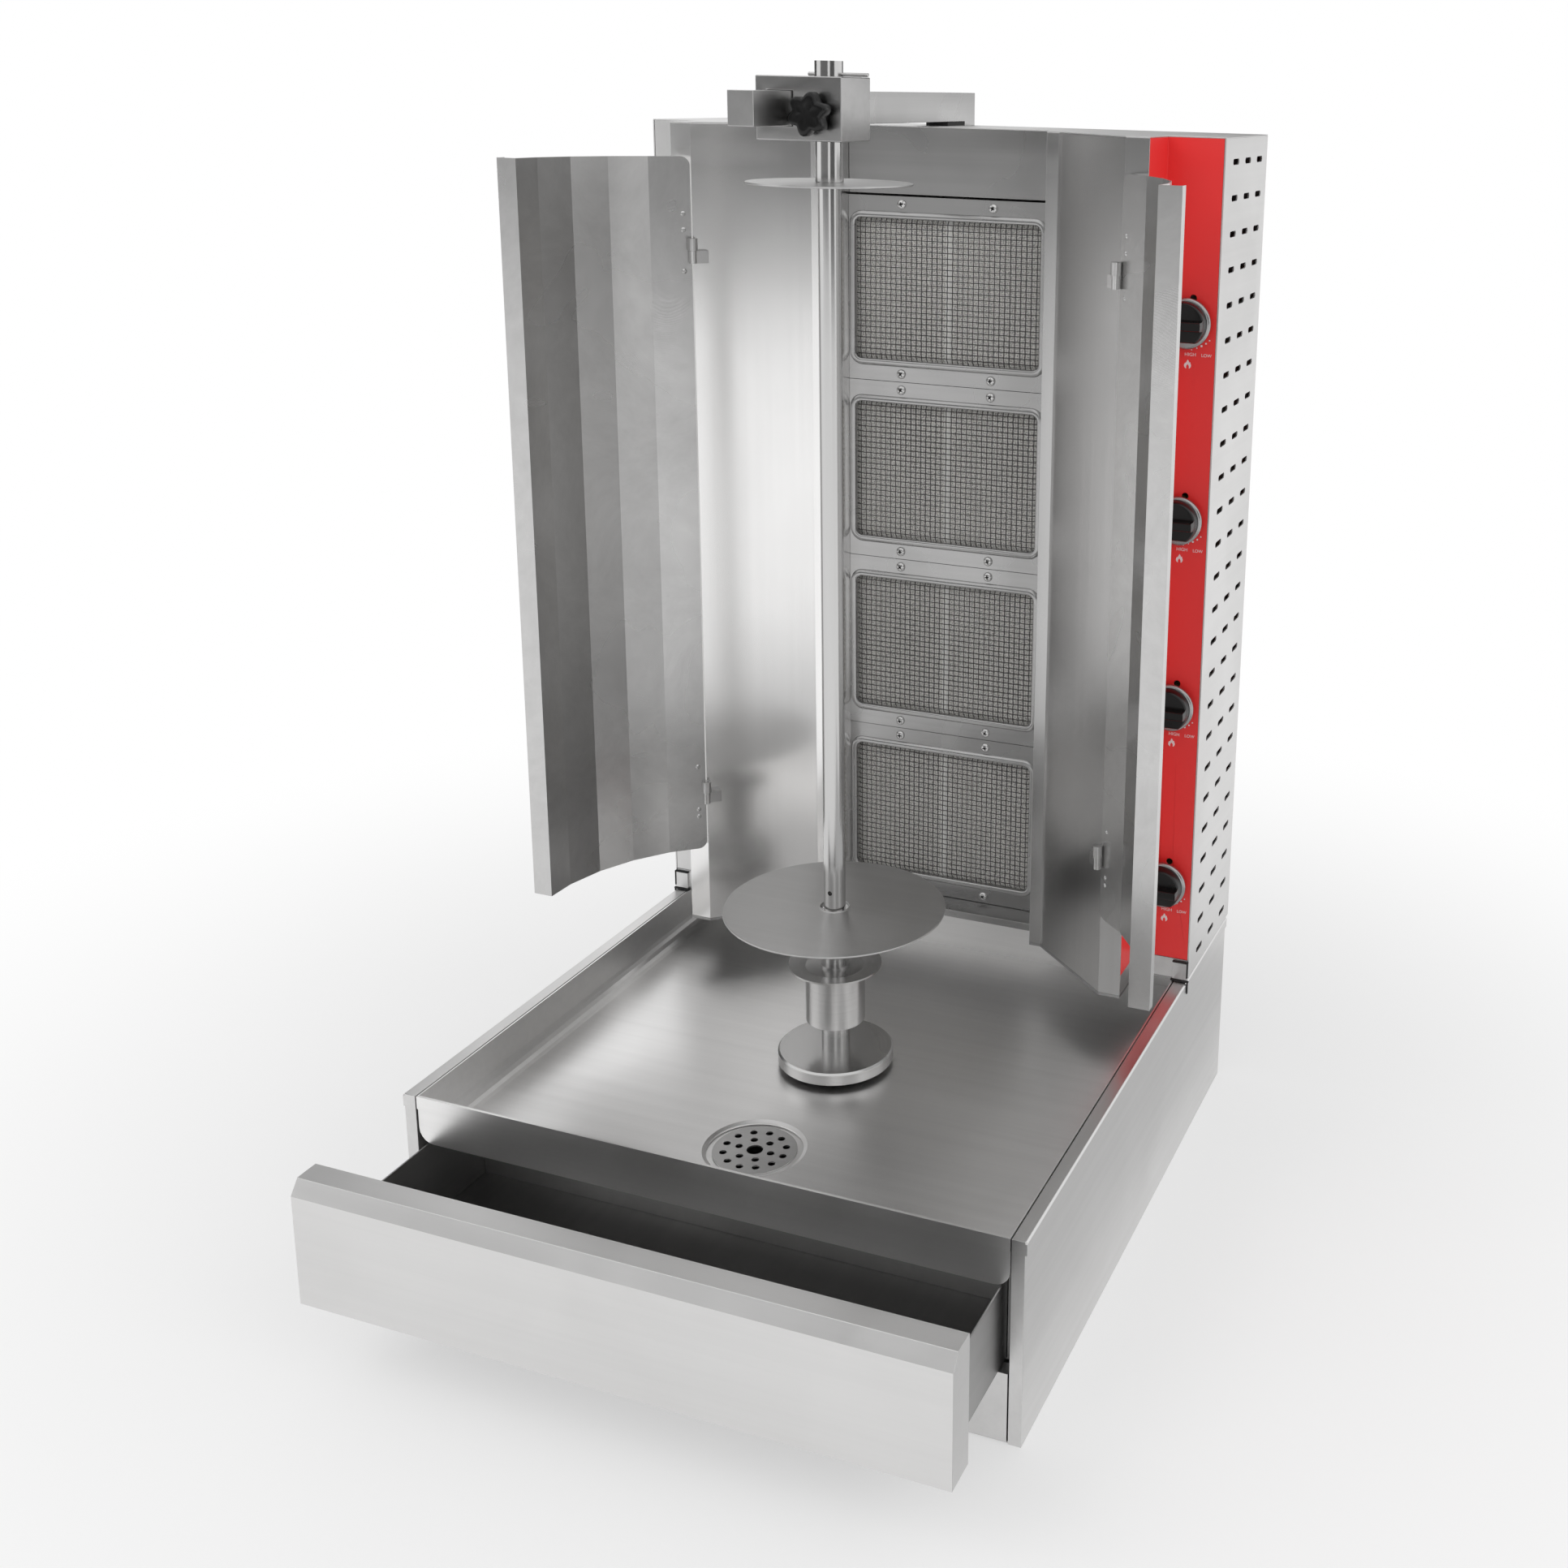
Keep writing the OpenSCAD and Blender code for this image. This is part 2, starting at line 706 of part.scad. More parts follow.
// Fat pan with its hemmed front lip, dished drain and slot for the drive shaft
module fat_pan() {
  path = pan_path(pan_half_w, pan_z, base_h, pan_corner_r);
  low_path = pan_path(pan_half_w, pan_z, base_h - pan_rear_drop, pan_corner_r);
  color("silver") from_front() difference() {
    union() {
      along_y(pan_sheet, pan_rear_y - pan_sheet) folded(path, pan_sheet);
      along_y(pan_sheet, pan_sheet) polygon(path);
      along_y(pan_rear_y - pan_sheet, pan_sheet) polygon(low_path);
      translate([-pan_half_w, 0, base_h - pan_hem_h])
        cube([2 * pan_half_w, pan_sheet, pan_hem_h]);
      translate([0, drain_y, 0]) rotate_extrude() polygon([[dish_seat_r - dish_ledge_w,
        dish_seat_z], [dish_seat_r + dish_slope, dish_seat_z], [dish_r + pan_sheet, pan_floor_z],
        [dish_r + pan_sheet, pan_z], [dish_seat_r + dish_slope, dish_seat_z - pan_sheet],
        [dish_seat_r - dish_ledge_w, dish_seat_z - pan_sheet]]);
    }
    translate([0, drain_y, 0]) rotate_extrude() polygon([[0, dish_seat_z - dish_d],
      [dish_seat_r - dish_ledge_w, dish_seat_z - dish_d], [dish_seat_r - dish_ledge_w, dish_seat_z],
      [dish_seat_r, dish_seat_z], [dish_r, pan_floor_z], [dish_r, base_h], [0, base_h]]);
    translate([0, spit_y + (slide_back - slide_front) / 2, pan_z - overrun])
      linear_extrude(pan_sheet + 2 * overrun) rotate(90)
        slot_shape(slide_front + slide_back + 2 * slot_r, 2 * slot_r);
  }
}

// Strainer that lifts out of the drain
module drain_strainer() {
  color("lightgray") from_front() translate([0, drain_y, dish_seat_z + flat_fit])
    linear_extrude(strainer_t) difference() {
      circle(r = strainer_r);
      circle(r = strainer_eye_r);
      for (i = [1 : inner_holes])
        rotate(i * 360 / inner_holes) translate([strainer_ring_r, 0]) circle(r = strainer_hole_r);
      for (i = [1 : outer_holes])
        rotate(i * 360 / outer_holes) translate([strainer_ring_r + strainer_ring_step, 0])
          circle(r = strainer_hole_r);
    }
}

// Cross members under the pan with the two rods that guide the drive carriage
module slide_frame() {
  color("dimgray") from_front() {
    cross_member(cross_front_y - cross_w, -overrun);
    cross_member(cross_back_y, sheet);
    both_sides() rod_y(guide_x, cross_front_y - sheet, guide_z, guide_r,
      cross_back_y - cross_front_y + 2 * sheet);
  }
}
module cross_member(y, pocket) {
  difference() {
    translate([-inner_x, y, cross_top_z - cross_h]) cube([2 * inner_x, cross_w, cross_h]);
    translate([-inner_x - overrun, y + pocket, cross_top_z - cross_h + sheet])
      cube([2 * (inner_x + overrun), cross_w - sheet + overrun, cross_h - 2 * sheet]);
  }
}

// Carriage that slides on the rods and holds the bearing and the gearbox
module drive_carriage() {
  color("slategray") from_front() translate([0, spit_y, 0]) difference() {
    union() {
      translate([-carriage_half_w, -carriage_half_d, carriage_z])
        cube([2 * carriage_half_w, 2 * carriage_half_d, carriage_t]);
      both_sides() translate([guide_x - lug_half_w, -carriage_half_d, guide_z - guide_r - lug_wall])
        cube([2 * lug_half_w, 2 * carriage_half_d, guide_drop + guide_r + lug_wall + overrun]);
      translate([0, 0, boss_z]) cylinder(r = bearing_r + boss_wall, h = boss_h + overrun);
    }
    translate([0, 0, boss_z - overrun])
      cylinder(r = bearing_r + running, h = boss_h + overrun);
    translate([0, 0, boss_z]) cylinder(r = shaft_r + slip, h = boss_h + carriage_t + overrun);
    both_sides() rod_y(guide_x, -carriage_half_d - overrun, guide_z, guide_r + running,
      2 * (carriage_half_d + overrun));
  }
}

// Ball bearing of the drive shaft, as one ring
module shaft_bearing() {
  color("lightsteelblue") from_front()
    translate([0, spit_y, carriage_z - bearing_t]) linear_extrude(bearing_t) difference() {
      circle(r = bearing_r);
      circle(r = shaft_r + running);
    }
}

// Closed housing round the gears
module gearbox_housing() {
  color("darkgray") from_front() translate([0, spit_y, gearbox_z]) difference() {
    translate([-gearbox_left, -gearbox_half_d, 0])
      cube([gearbox_left + gearbox_right, 2 * gearbox_half_d, gearbox_h]);
    translate([gearbox_wall - gearbox_left, gearbox_wall - gearbox_half_d, gearbox_wall])
      cube([gearbox_left + gearbox_right - 2 * gearbox_wall,
        2 * (gearbox_half_d - gearbox_wall), gearbox_h - 2 * gearbox_wall]);
    translate([0, 0, gearbox_h - gearbox_wall - overrun])
      cylinder(r = low_shaft_r + running, h = gearbox_wall + 2 * overrun);
    translate([gear_distance, 0, -overrun])
      cylinder(r = motor_shaft_r + running, h = gearbox_wall + 2 * overrun);
  }
}

// Motor can below the gearbox
module gear_motor() {
  color("gray") from_front() translate([gear_distance, spit_y, gearbox_z - motor_h])
    difference() {
      cylinder(r = motor_r, h = motor_h);
      translate([0, 0, motor_h - motor_bore_l])
        cylinder(r = motor_shaft_r + running, h = motor_bore_l + overrun);
    }
}

// Involute spur gear about the origin
function roll(a) = tan(a) * 180 / PI - a;
function base_r(z) = gear_module * z * cos(pressure_angle) / 2;
function root_r(z) = gear_module * (z - root_depth_shares) / 2;
function tip_r(z) = gear_module * (z + tip_height_shares) / 2;
function half_tooth(z) = 90 / z - gear_backlash * 180 / PI / (gear_module * z);
function flank_r(z, i) = let (low = max(base_r(z), root_r(z)))
  low + (tip_r(z) - low) * i / flank_steps;
function flank_a(z, r) = half_tooth(z) + roll(pressure_angle) - roll(acos(min(1, base_r(z) / r)));
function polar(r, a) = r * [cos(a), sin(a)];
function tooth(z) = concat([polar(root_r(z), -flank_a(z, flank_r(z, 0)))],
  [for (i = [0 : flank_steps]) polar(flank_r(z, i), -flank_a(z, flank_r(z, i)))],
  [for (i = [flank_steps : -1 : 0]) polar(flank_r(z, i), flank_a(z, flank_r(z, i)))],
  [polar(root_r(z), flank_a(z, flank_r(z, 0)))]);
function turned(p, a) = [p.x * cos(a) - p.y * sin(a), p.x * sin(a) + p.y * cos(a)];
module spur(z) polygon([for (k = [0 : z - 1]) for (p = tooth(z)) turned(p, k * 360 / z)]);

module output_gear() {
  color("goldenrod") from_front() translate([0, spit_y, gear_z]) linear_extrude(gear_t)
    difference() {
      spur(gear_teeth);
      circle(r = low_shaft_r + running);
    }
}

// Motor shaft with its pinion, which sits half a tooth round to mesh
module motor_pinion() {
  color("goldenrod") from_front() translate([gear_distance, spit_y, 0]) {
    translate([0, 0, gear_z - pinion_extra]) rotate(180 + 180 / pinion_teeth)
      linear_extrude(gear_t + 2 * pinion_extra) spur(pinion_teeth);
    translate([0, 0, gearbox_z - motor_bore_l + overrun])
      cylinder(r = motor_shaft_r, h = gear_z + gear_t - gearbox_z + motor_bore_l);
  }
}

// Shaft with the foot disc and spigot that turn above the pan
module drive_shaft() {
  color("silver") from_front() translate([0, spit_y, 0]) {
    translate([0, 0, gearbox_z + gearbox_wall + slip])
      cylinder(r = low_shaft_r, h = boss_z - gearbox_z - gearbox_wall + overrun);
    translate([0, 0, boss_z + slip]) cylinder(r = shaft_r, h = foot_z - boss_z);
    rotate_extrude() polygon([[0, foot_z], [foot_r, foot_z], [foot_r, spigot_z - foot_bevel],
      [foot_r - foot_bevel, spigot_z], [0, spigot_z]]);
    translate([0, 0, spigot_z]) cylinder(r = spigot_r, h = spigot_h);
    translate([0, 0, cup_z]) cylinder(r = coupling_r, h = coupling_l);
  }
}
// Cup that couples the rod to the spigot
module drive_cup() {
  color("silver") from_front() translate([0, spit_y, cup_z]) difference() {
    cylinder(r = cup_r, h = cup_h);
    translate([0, 0, -overrun]) cylinder(r = coupling_r + running, h = coupling_l + 2 * overrun);
    translate([0, 0, coupling_l + rod_seat]) cylinder(r = rod_r + running, h = cup_h);
  }
}

// Small dished disc that keeps fat out of the cup
module drip_disc() {
  color("gray") from_front() translate([0, spit_y, cup_top_z]) rotate_extrude()
    polygon([[rod_r + running, 0], [cup_r, 0], [drip_disc_r, drip_rise],
      [drip_disc_r, drip_rise + disc_t], [cup_r, disc_t], [drip_collar_r, disc_t],
      [drip_collar_r, disc_t + drip_collar_h], [rod_r + running, disc_t + drip_collar_h]]);
}

// Large disc that carries the meat, with a rolled bead round its hole
module lower_disc() {
  color("darkgray") from_front() translate([0, spit_y, lower_disc_z]) difference() {
    union() {
      cylinder(r = lower_disc_r, h = disc_t);
      cylinder(r = disc_hole_r + disc_bead_w, h = disc_t + disc_bead);
    }
    translate([0, 0, -overrun]) cylinder(r = disc_hole_r, h = disc_t + 3 * overrun);
  }
}

// Rod with the pin that holds the lower disc and a spare cross hole
module spit_rod() {
  color("lightgray") from_front() translate([0, spit_y, 0]) difference() {
    union() {
      translate([0, 0, rod_z]) cylinder(r = rod_r, h = rod_top_z - rod_z);
      rod_x(-rest_pin_l / 2, 0, lower_disc_z - flat_fit - rest_pin_r, rest_pin_r, rest_pin_l);
    }
    rod_y(0, -rod_r - overrun, lower_disc_z + spare_hole_rise, rest_pin_r,
      2 * (rod_r + overrun));
  }
}

// Disc that is pressed down on the meat
module upper_disc() {
  color("lightgray") from_front() translate([0, spit_y, upper_disc_z]) linear_extrude(disc_t)
    difference() {
      circle(r = upper_disc_r);
      circle(r = rod_r + running);
    }
}

// Sleeve with its cross pin, lifted to free the rod's top
module lock_sleeve() {
  pin_z = block_z + block_h + cross_pin_r + flat_fit;
  color("lightgray") from_front() translate([0, spit_y, 0]) {
    translate([0, 0, sleeve_z]) difference() {
      cylinder(r = sleeve_r, h = sleeve_end_z - sleeve_z);
      translate([0, 0, -overrun])
        cylinder(r = rod_r + running, h = rod_top_z - sleeve_z + 3 * overrun);
    }
    rod_x(-cross_pin_left, 0, pin_z, cross_pin_r, cross_pin_l);
  }
}

// Block that slides along the bar and holds the sleeve
module clamp_block() {
  color("silver") from_front() difference() {
    translate([block_right - block_w, block_y, block_z]) cube([block_w, block_d, block_h]);
    translate([bar_x - bar_fit, block_y - overrun, bar_z - bar_fit])
      cube([bar_w + 2 * bar_fit, block_d + 2 * overrun, bar_h + 2 * bar_fit]);
    translate([0, spit_y, block_z - overrun])
      cylinder(r = sleeve_r + running, h = block_h + 2 * overrun);
    rod_y(star_x, block_y - overrun, star_z, stud_r + running, block_front);
  }
}

// Star knob on the stud that clamps the sleeve
module star_knob() {
  star_y = block_y - star_collar_t - flat_fit - star_t;
  stud_l = star_t + star_collar_t + block_front - sleeve_r - slip;
  color("black") from_front() translate([star_x, star_y, star_z]) rotate([-90, 0, 0]) {
    linear_extrude(star_t) {
      circle(r = star_r * star_core_share);
      for (i = [1 : star_lobes]) rotate(i * 360 / star_lobes + 180 / star_lobes / 2)
        translate([star_r * lobe_ring_share, 0]) circle(r = star_r * (1 - lobe_ring_share));
    }
    cylinder(r = star_collar_r, h = star_t + star_collar_t);
    cylinder(r = stud_r, h = stud_l);
  }
}

// Arm: one bar over the tower with a leg fixed inside its back
module arm_bar() {
  color("silver") from_front() {
    translate([bar_x, spit_y - bar_front, bar_z])
      cube([bar_w, tower_back_y - spit_y + bar_front, bar_h]);
    translate([bar_x, leg_y, tower_h - leg_h]) cube([bar_w, leg_d, leg_h + bar_gap + overrun]);
  }
}

// Rubber pad between the bar and the top cover
module arm_pad() {
  color("black") from_front() translate([bar_x, leg_y - pad_l - slip, tower_h])
    cube([bar_w, pad_l, bar_gap]);
}

// Floor plate of the tower, resting on the rims
module tower_floor() {
  color("gray") from_front() translate([0, 0, base_h]) linear_extrude(floor_t)
    tower_plan(panel_end_x, tower_back_y - slip);
}

// Rear panel of the tower
module tower_back() {
  color("silver") from_front() difference() {
    translate([-panel_end_x, tower_back_y, tower_z])
      cube([2 * panel_end_x, tower_sheet, wall_top_z - tower_z]);
    rod_y(manifold_x, tower_back_y - overrun, inlet_z, manifold_r + slip,
      tower_sheet + 2 * overrun);
    leg_screw_places() rod_y(0, tower_back_y - overrun, 0, leg_shank_r + flat_fit,
      tower_sheet + 2 * overrun);
    for (i = [0 : vent_rows - 1], x = [-1, 1])
      along_y(tower_back_y - overrun, tower_sheet + 2 * overrun)
        translate([x * post_x / 2, inlet_z + (i + vent_rows) * vent_pitch])
          slot_shape(vent_l, vent_w);
  }
}

// Slotted cover over one side of the tower
module side_cover() {
  color("gainsboro") from_front() difference() {
    translate([cover_x - tower_sheet, tower_y, cover_z])
      cube([tower_sheet, tower_d, wall_top_z - cover_z]);
    translate([cover_x - tower_sheet - overrun, 0, 0]) rotate([90, 0, 90])
      linear_extrude(tower_sheet + 2 * overrun)
        for (row = [0 : slot_rows - 1], col = [-1 : 1])
          translate([tower_y + slot_mid + col * slot_col_pitch,
            tower_h - slot_drop - row * slot_pitch]) slot_shape(slot_l, slot_w);
  }
}
module side_cover_right() side_cover();
module side_cover_left() mirror([1, 0, 0]) side_cover();

// Lid over the whole tower
module top_cover() {
  color("gainsboro") from_front() translate([0, 0, wall_top_z]) linear_extrude(tower_sheet)
    difference() {
      tower_plan(cover_x, base_d);
      translate([bar_x - flat_fit, leg_y - flat_fit])
        square([bar_w + 2 * flat_fit, leg_d + 2 * flat_fit]);
    }
}

// Front panel folded round the side of its post
function panel_path() = [[post_x, post_y + tower_sheet], [post_x, tower_y],
  [panel_end_x, tower_y]];

// Red control panel with the holes for the tap stems
module control_panel() {
  color("red") from_front() difference() {
    translate([0, 0, panel_z]) linear_extrude(wall_top_z - panel_z)
      folded(panel_path(), tower_sheet);
    for (i = [0 : burner_count - 1])
      rod_y(knob_x, tower_y - overrun, knob_z(i), stem_r + overrun, tower_sheet + 2 * overrun);
    for (i = [0 : burner_count - 1])
      rod_y(knob_x + sight_right, tower_y - overrun, knob_z(i) + sight_up, sight_r,
        tower_sheet + 2 * overrun);
  }
}
module left_front_panel() {
  color("dimgray") from_front() mirror([1, 0, 0]) translate([0, 0, panel_z])
    linear_extrude(wall_top_z - panel_z) folded(panel_path(), tower_sheet);
}

// Steel strips below the front panels and the clips over the rims
module foot_trim() {
  color("silver") from_front() both_sides() {
    translate([0, 0, tower_z]) linear_extrude(strip_h) folded(panel_path(), tower_sheet);
    translate([cover_x - clip_in - clip_w, tower_y - clip_t, tower_z])
      cube([clip_w, clip_t, clip_h]);
  }
}

// Post, slanted wall and bay side, folded from one sheet
module bay_wall() {
  color("silver") from_front() translate([0, 0, tower_z]) linear_extrude(wall_top_z - tower_z)
    folded([[post_x, post_y], [post_in_x, post_y], [slant_x, bay_y], [bay_mouth_x, bay_y],
      [bay_half_w, burner_y]], -tower_sheet);
}
module bay_wall_right() bay_wall();
module bay_wall_left() mirror([1, 0, 0]) bay_wall();

// Fascia between the top burner and the lid
module header_fascia() {
  half = bay_half_w - slip;
  color("silver") from_front() translate([-half, burner_y, wall_top_z - fascia_h])
    cube([2 * half, tower_sheet, fascia_h]);
}

// Ledge below the lowest burner, standing on the tower floor
module drip_ledge() {
  ledge_z = burner_base_z - flat_fit - tower_sheet;
  wide = bay_half_w + ledge_out * tan(bay_angle) - slip;
  half = bay_half_w - slip;
  color("silver") from_front() {
    translate([0, 0, ledge_z]) linear_extrude(tower_sheet)
      polygon([[-half, burner_y + tower_sheet], [-half, burner_y], [-wide, burner_y - ledge_out],
        [wide, burner_y - ledge_out], [half, burner_y], [half, burner_y + tower_sheet]]);
    translate([-wide, burner_y - ledge_out, ledge_z - ledge_lip])
      cube([2 * wide, tower_sheet, ledge_lip + tower_sheet]);
    translate([-half, burner_y, tower_z]) cube([2 * half, tower_sheet, ledge_z - tower_z]);
  }
}

// Four places for the screws of one burner
module burner_screw_places() {
  for (x = [-1, 1], z = [-1, 1])
    translate([x * burner_screw_x, 0, z * burner_screw_z]) children();
}

// Pressed frame in front of each burner, with a bead round its window
module burner_frames() {
  half = burner_frame_h / 2;
  color("silver") from_front() each_burner() difference() {
    along_y(burner_y, frame_t) difference() {
      translate([-bay_half_w, -half]) square([burner_frame_w, burner_frame_h]);
      round_rect(window_w, window_h, window_corner_r);
    }
    burner_screw_places() rod_y(0, burner_y - overrun, 0, burner_screw_hole_r,
      frame_t + 2 * overrun);
  }
}

// Woven gauze in front of each pair of plaques, as a flat net
module burner_gauzes() {
  w = window_w + 2 * gauze_lap;
  h = window_h + 2 * gauze_lap - 2 * flat_fit;
  step_x = (window_w - strand_w) / gauze_cols;
  step_z = (window_h - strand_w) / gauze_rows;
  color("darkgray") from_front() each_burner() along_y(gauze_y, gauze_t) difference() {
    square([w, h], center = true);
    for (i = [0 : gauze_cols - 1], k = [0 : gauze_rows - 1])
      translate([(i - (gauze_cols - 1) / 2) * step_x, (k - (gauze_rows - 1) / 2) * step_z])
        square([step_x - strand_w, step_z - strand_w], center = true);
  }
}

// Two ceramic plaques side by side in each burner
module burner_plaques() {
  color("tan") from_front() each_burner() both_sides() along_y(plaque_y, plaque_t)
    translate([plaque_gap / 2, -plaque_h / 2]) square([plaque_w, plaque_h]);
}

// Mixing box behind each burner, with a flange and a venturi tube
module burner_boxes() {
  half_w = tray_half_w + burner_wall;
  half_h = tray_half_h + burner_wall;
  color("gray") from_front() each_burner() difference() {
    union() {
      along_y(gauze_y, frame_t) square([burner_frame_w - 2 * slip, burner_frame_h - 2 * slip],
        center = true);
      along_y(gauze_y, burner_box_d) square([2 * half_w, 2 * half_h], center = true);
      rod_x(tray_half_w, venturi_y, -knob_low, venturi_r, venturi_l);
    }
    along_y(gauze_y - overrun, burner_box_d - burner_wall + overrun)
      square([2 * tray_half_w, 2 * tray_half_h], center = true);
    rod_x(tray_half_w - overrun, venturi_y, -knob_low, venturi_r - venturi_wall,
      venturi_l + 2 * overrun);
    burner_screw_places() rod_y(0, gauze_y - overrun, 0, burner_screw_hole_r,
      frame_t + 2 * overrun);
  }
}

// Places of the two screws through the tower's back into the arm's leg
module leg_screw_places() {
  for (i = [0, 1]) translate([bar_x + bar_w / 2, 0, tower_h - leg_h / 2 + (i - 1) * leg_screw_step
    + leg_screw_step / 2]) children();
}

// Round-headed burner screws and the two screws of the arm's leg
module screws() {
  color("lightgray") from_front() {
    each_burner() burner_screw_places() {
      rod_y(0, burner_y, 0, screw_shank_r, screw_l);
      translate([0, burner_y, 0]) rotate([90, 0, 0])
        cylinder(r1 = screw_head_r, r2 = screw_head_r / 2, h = screw_head_t);
    }
    leg_screw_places() rod_y(0, base_d, 0, leg_screw_r, leg_screw_t);
    leg_screw_places() rod_y(0, tower_back_y, 0, leg_shank_r, tower_sheet + overrun);
  }
}

// Upright manifold with a boss for each tap and the inlet through the back
module gas_manifold() {
  color("goldenrod") from_front() {
    translate([manifold_x, manifold_y, inlet_z]) {
      sphere(r = manifold_r);
      cylinder(r = manifold_r, h = knob_z(0) - inlet_z + 2 * manifold_r);
    }
    for (i = [0 : burner_count - 1])
      rod_x(manifold_x, manifold_y, knob_z(i), neck_r, manifold_in);
    rod_y(manifold_x, manifold_y, inlet_z, manifold_r, base_d - manifold_y + overrun);
    translate([manifold_x, base_d + slip, inlet_z]) rotate([-90, 0, 0])
      cylinder(r = inlet_hex_r, h = inlet_hex_t, $fn = 6);
    rod_y(manifold_x, base_d + slip + inlet_hex_t, inlet_z, inlet_r, inlet_l);
  }
}

// Tap bodies behind the control panel
module tap_bodies() {
  color("goldenrod") from_front() for (i = [0 : burner_count - 1]) difference() {
    union() {
      rod_y(knob_x, tap_y, knob_z(i), tap_r, tap_l);
      rod_x(post_x, manifold_y, knob_z(i), neck_r, knob_x - post_x);
    }
    rod_y(knob_x, tap_y - overrun, knob_z(i), stem_r + running, tap_l / 2);
    rod_y(knob_x, tap_seat_y - running, knob_z(i), plug_r + running, tap_seat_l + 2 * running);
  }
}

// Pipes from the taps to the nozzles in front of the venturi tubes
module injector_pipes() {
  nozzle_x = tray_half_w + venturi_l + nozzle_gap;
  color("peru") from_front() for (i = [0 : burner_count - 1]) translate([0, 0, knob_z(i)]) {
    rod_y(knob_x, tap_y + tap_l, 0, pipe_r, venturi_y - tap_y - tap_l);
    translate([knob_x, venturi_y, 0]) sphere(r = pipe_r);
    rod_x(nozzle_x, venturi_y, 0, pipe_r, knob_x - nozzle_x);
    rod_x(nozzle_x, venturi_y, 0, nozzle_r, nozzle_l);
  }
}

// Plug and stem that turn in a tap body
module tap_plug(i) {
  color("silver") from_front() {
    rod_y(knob_x, tap_seat_y, knob_z(i), plug_r, tap_seat_l);
    rod_y(knob_x, stem_y, knob_z(i), stem_r, tap_seat_y - stem_y + overrun);
  }
}
module tap_plug_1() tap_plug(0);
module tap_plug_2() tap_plug(1);
module tap_plug_3() tap_plug(2);
module tap_plug_4() tap_plug(3);

// Knob with a round skirt, a barrel and a straight grip across it
module knob(i) {
  color("black") from_front() translate([knob_x, knob_y, knob_z(i)]) rotate([90, 0, 0])
    difference() {
      union() {
        cylinder(r1 = knob_r, r2 = knob_r - knob_edge, h = knob_skirt_d);
        cylinder(r1 = knob_barrel_r, r2 = knob_barrel_r - knob_edge / 2,
          h = knob_skirt_d + knob_barrel_d);
        translate([0, 0, knob_skirt_d]) linear_extrude(knob_barrel_d + knob_grip_d)
          slot_shape(2 * (knob_barrel_r - knob_edge), knob_grip_w);
      }
      translate([0, 0, -overrun]) cylinder(r = stem_r + running,
        h = knob_skirt_d + knob_barrel_d - knob_wall + overrun);
    }
}
module knob_1() knob(0);
module knob_2() knob(1);
module knob_3() knob(2);
module knob_4() knob(3);

// Folded front of the drawer, whose top flange is the grip
module drawer_front() {
  half = front_w / 2;
  outline = [[front_back_y, front_z], [front_y, front_z], [front_y, front_top_z - bevel_h],
    [front_y + bevel_d, front_top_z], [front_back_y, front_top_z]];
  color("gainsboro") from_front() {
    translate([-half, 0, 0]) rotate([90, 0, 90]) linear_extrude(2 * half) folded(outline, -sheet);
    both_sides() translate([half - sheet, 0, 0]) rotate([90, 0, 90]) linear_extrude(sheet)
      polygon(outline);
  }
}

// Open box of the drawer: a floor and four walls, the back one cut down
module drawer_box() {
  wall_z = box_sheet + flat_fit;
  wall_h = box_top_z - box_z - wall_z;
  side_x = box_half_w - box_sheet;
  end_w = 2 * (side_x - flat_fit);
  color("lightgray") from_front() translate([0, box_y, box_z]) {
    translate([-box_half_w, 0, 0]) cube([box_w, box_l, box_sheet]);
    both_sides() translate([side_x, 0, wall_z]) cube([box_sheet, box_l, wall_h]);
    translate([-end_w / 2, 0, wall_z]) cube([end_w, box_sheet, wall_h]);
    translate([-end_w / 2, box_l - box_sheet, wall_z])
      cube([end_w, box_sheet, wall_h - box_back_drop]);
  }
}

// Fixed half of each hinge, with the pin
module hinge_brackets() {
  half_l = hinge_l / 2;
  color("dimgray") from_front() both_sides()
    for (z = [hinge_low_z, hinge_high_z]) translate([hinge_x, hinge_y, z]) {
      cylinder(r = knuckle_r, h = half_l);
      cylinder(r = pin_r, h = hinge_l);
      rotate(-slant_angle) linear_extrude(half_l)
        translate([-leaf_end, leaf_low]) square([leaf_end - leaf_start, leaf_high - leaf_low]);
    }
}

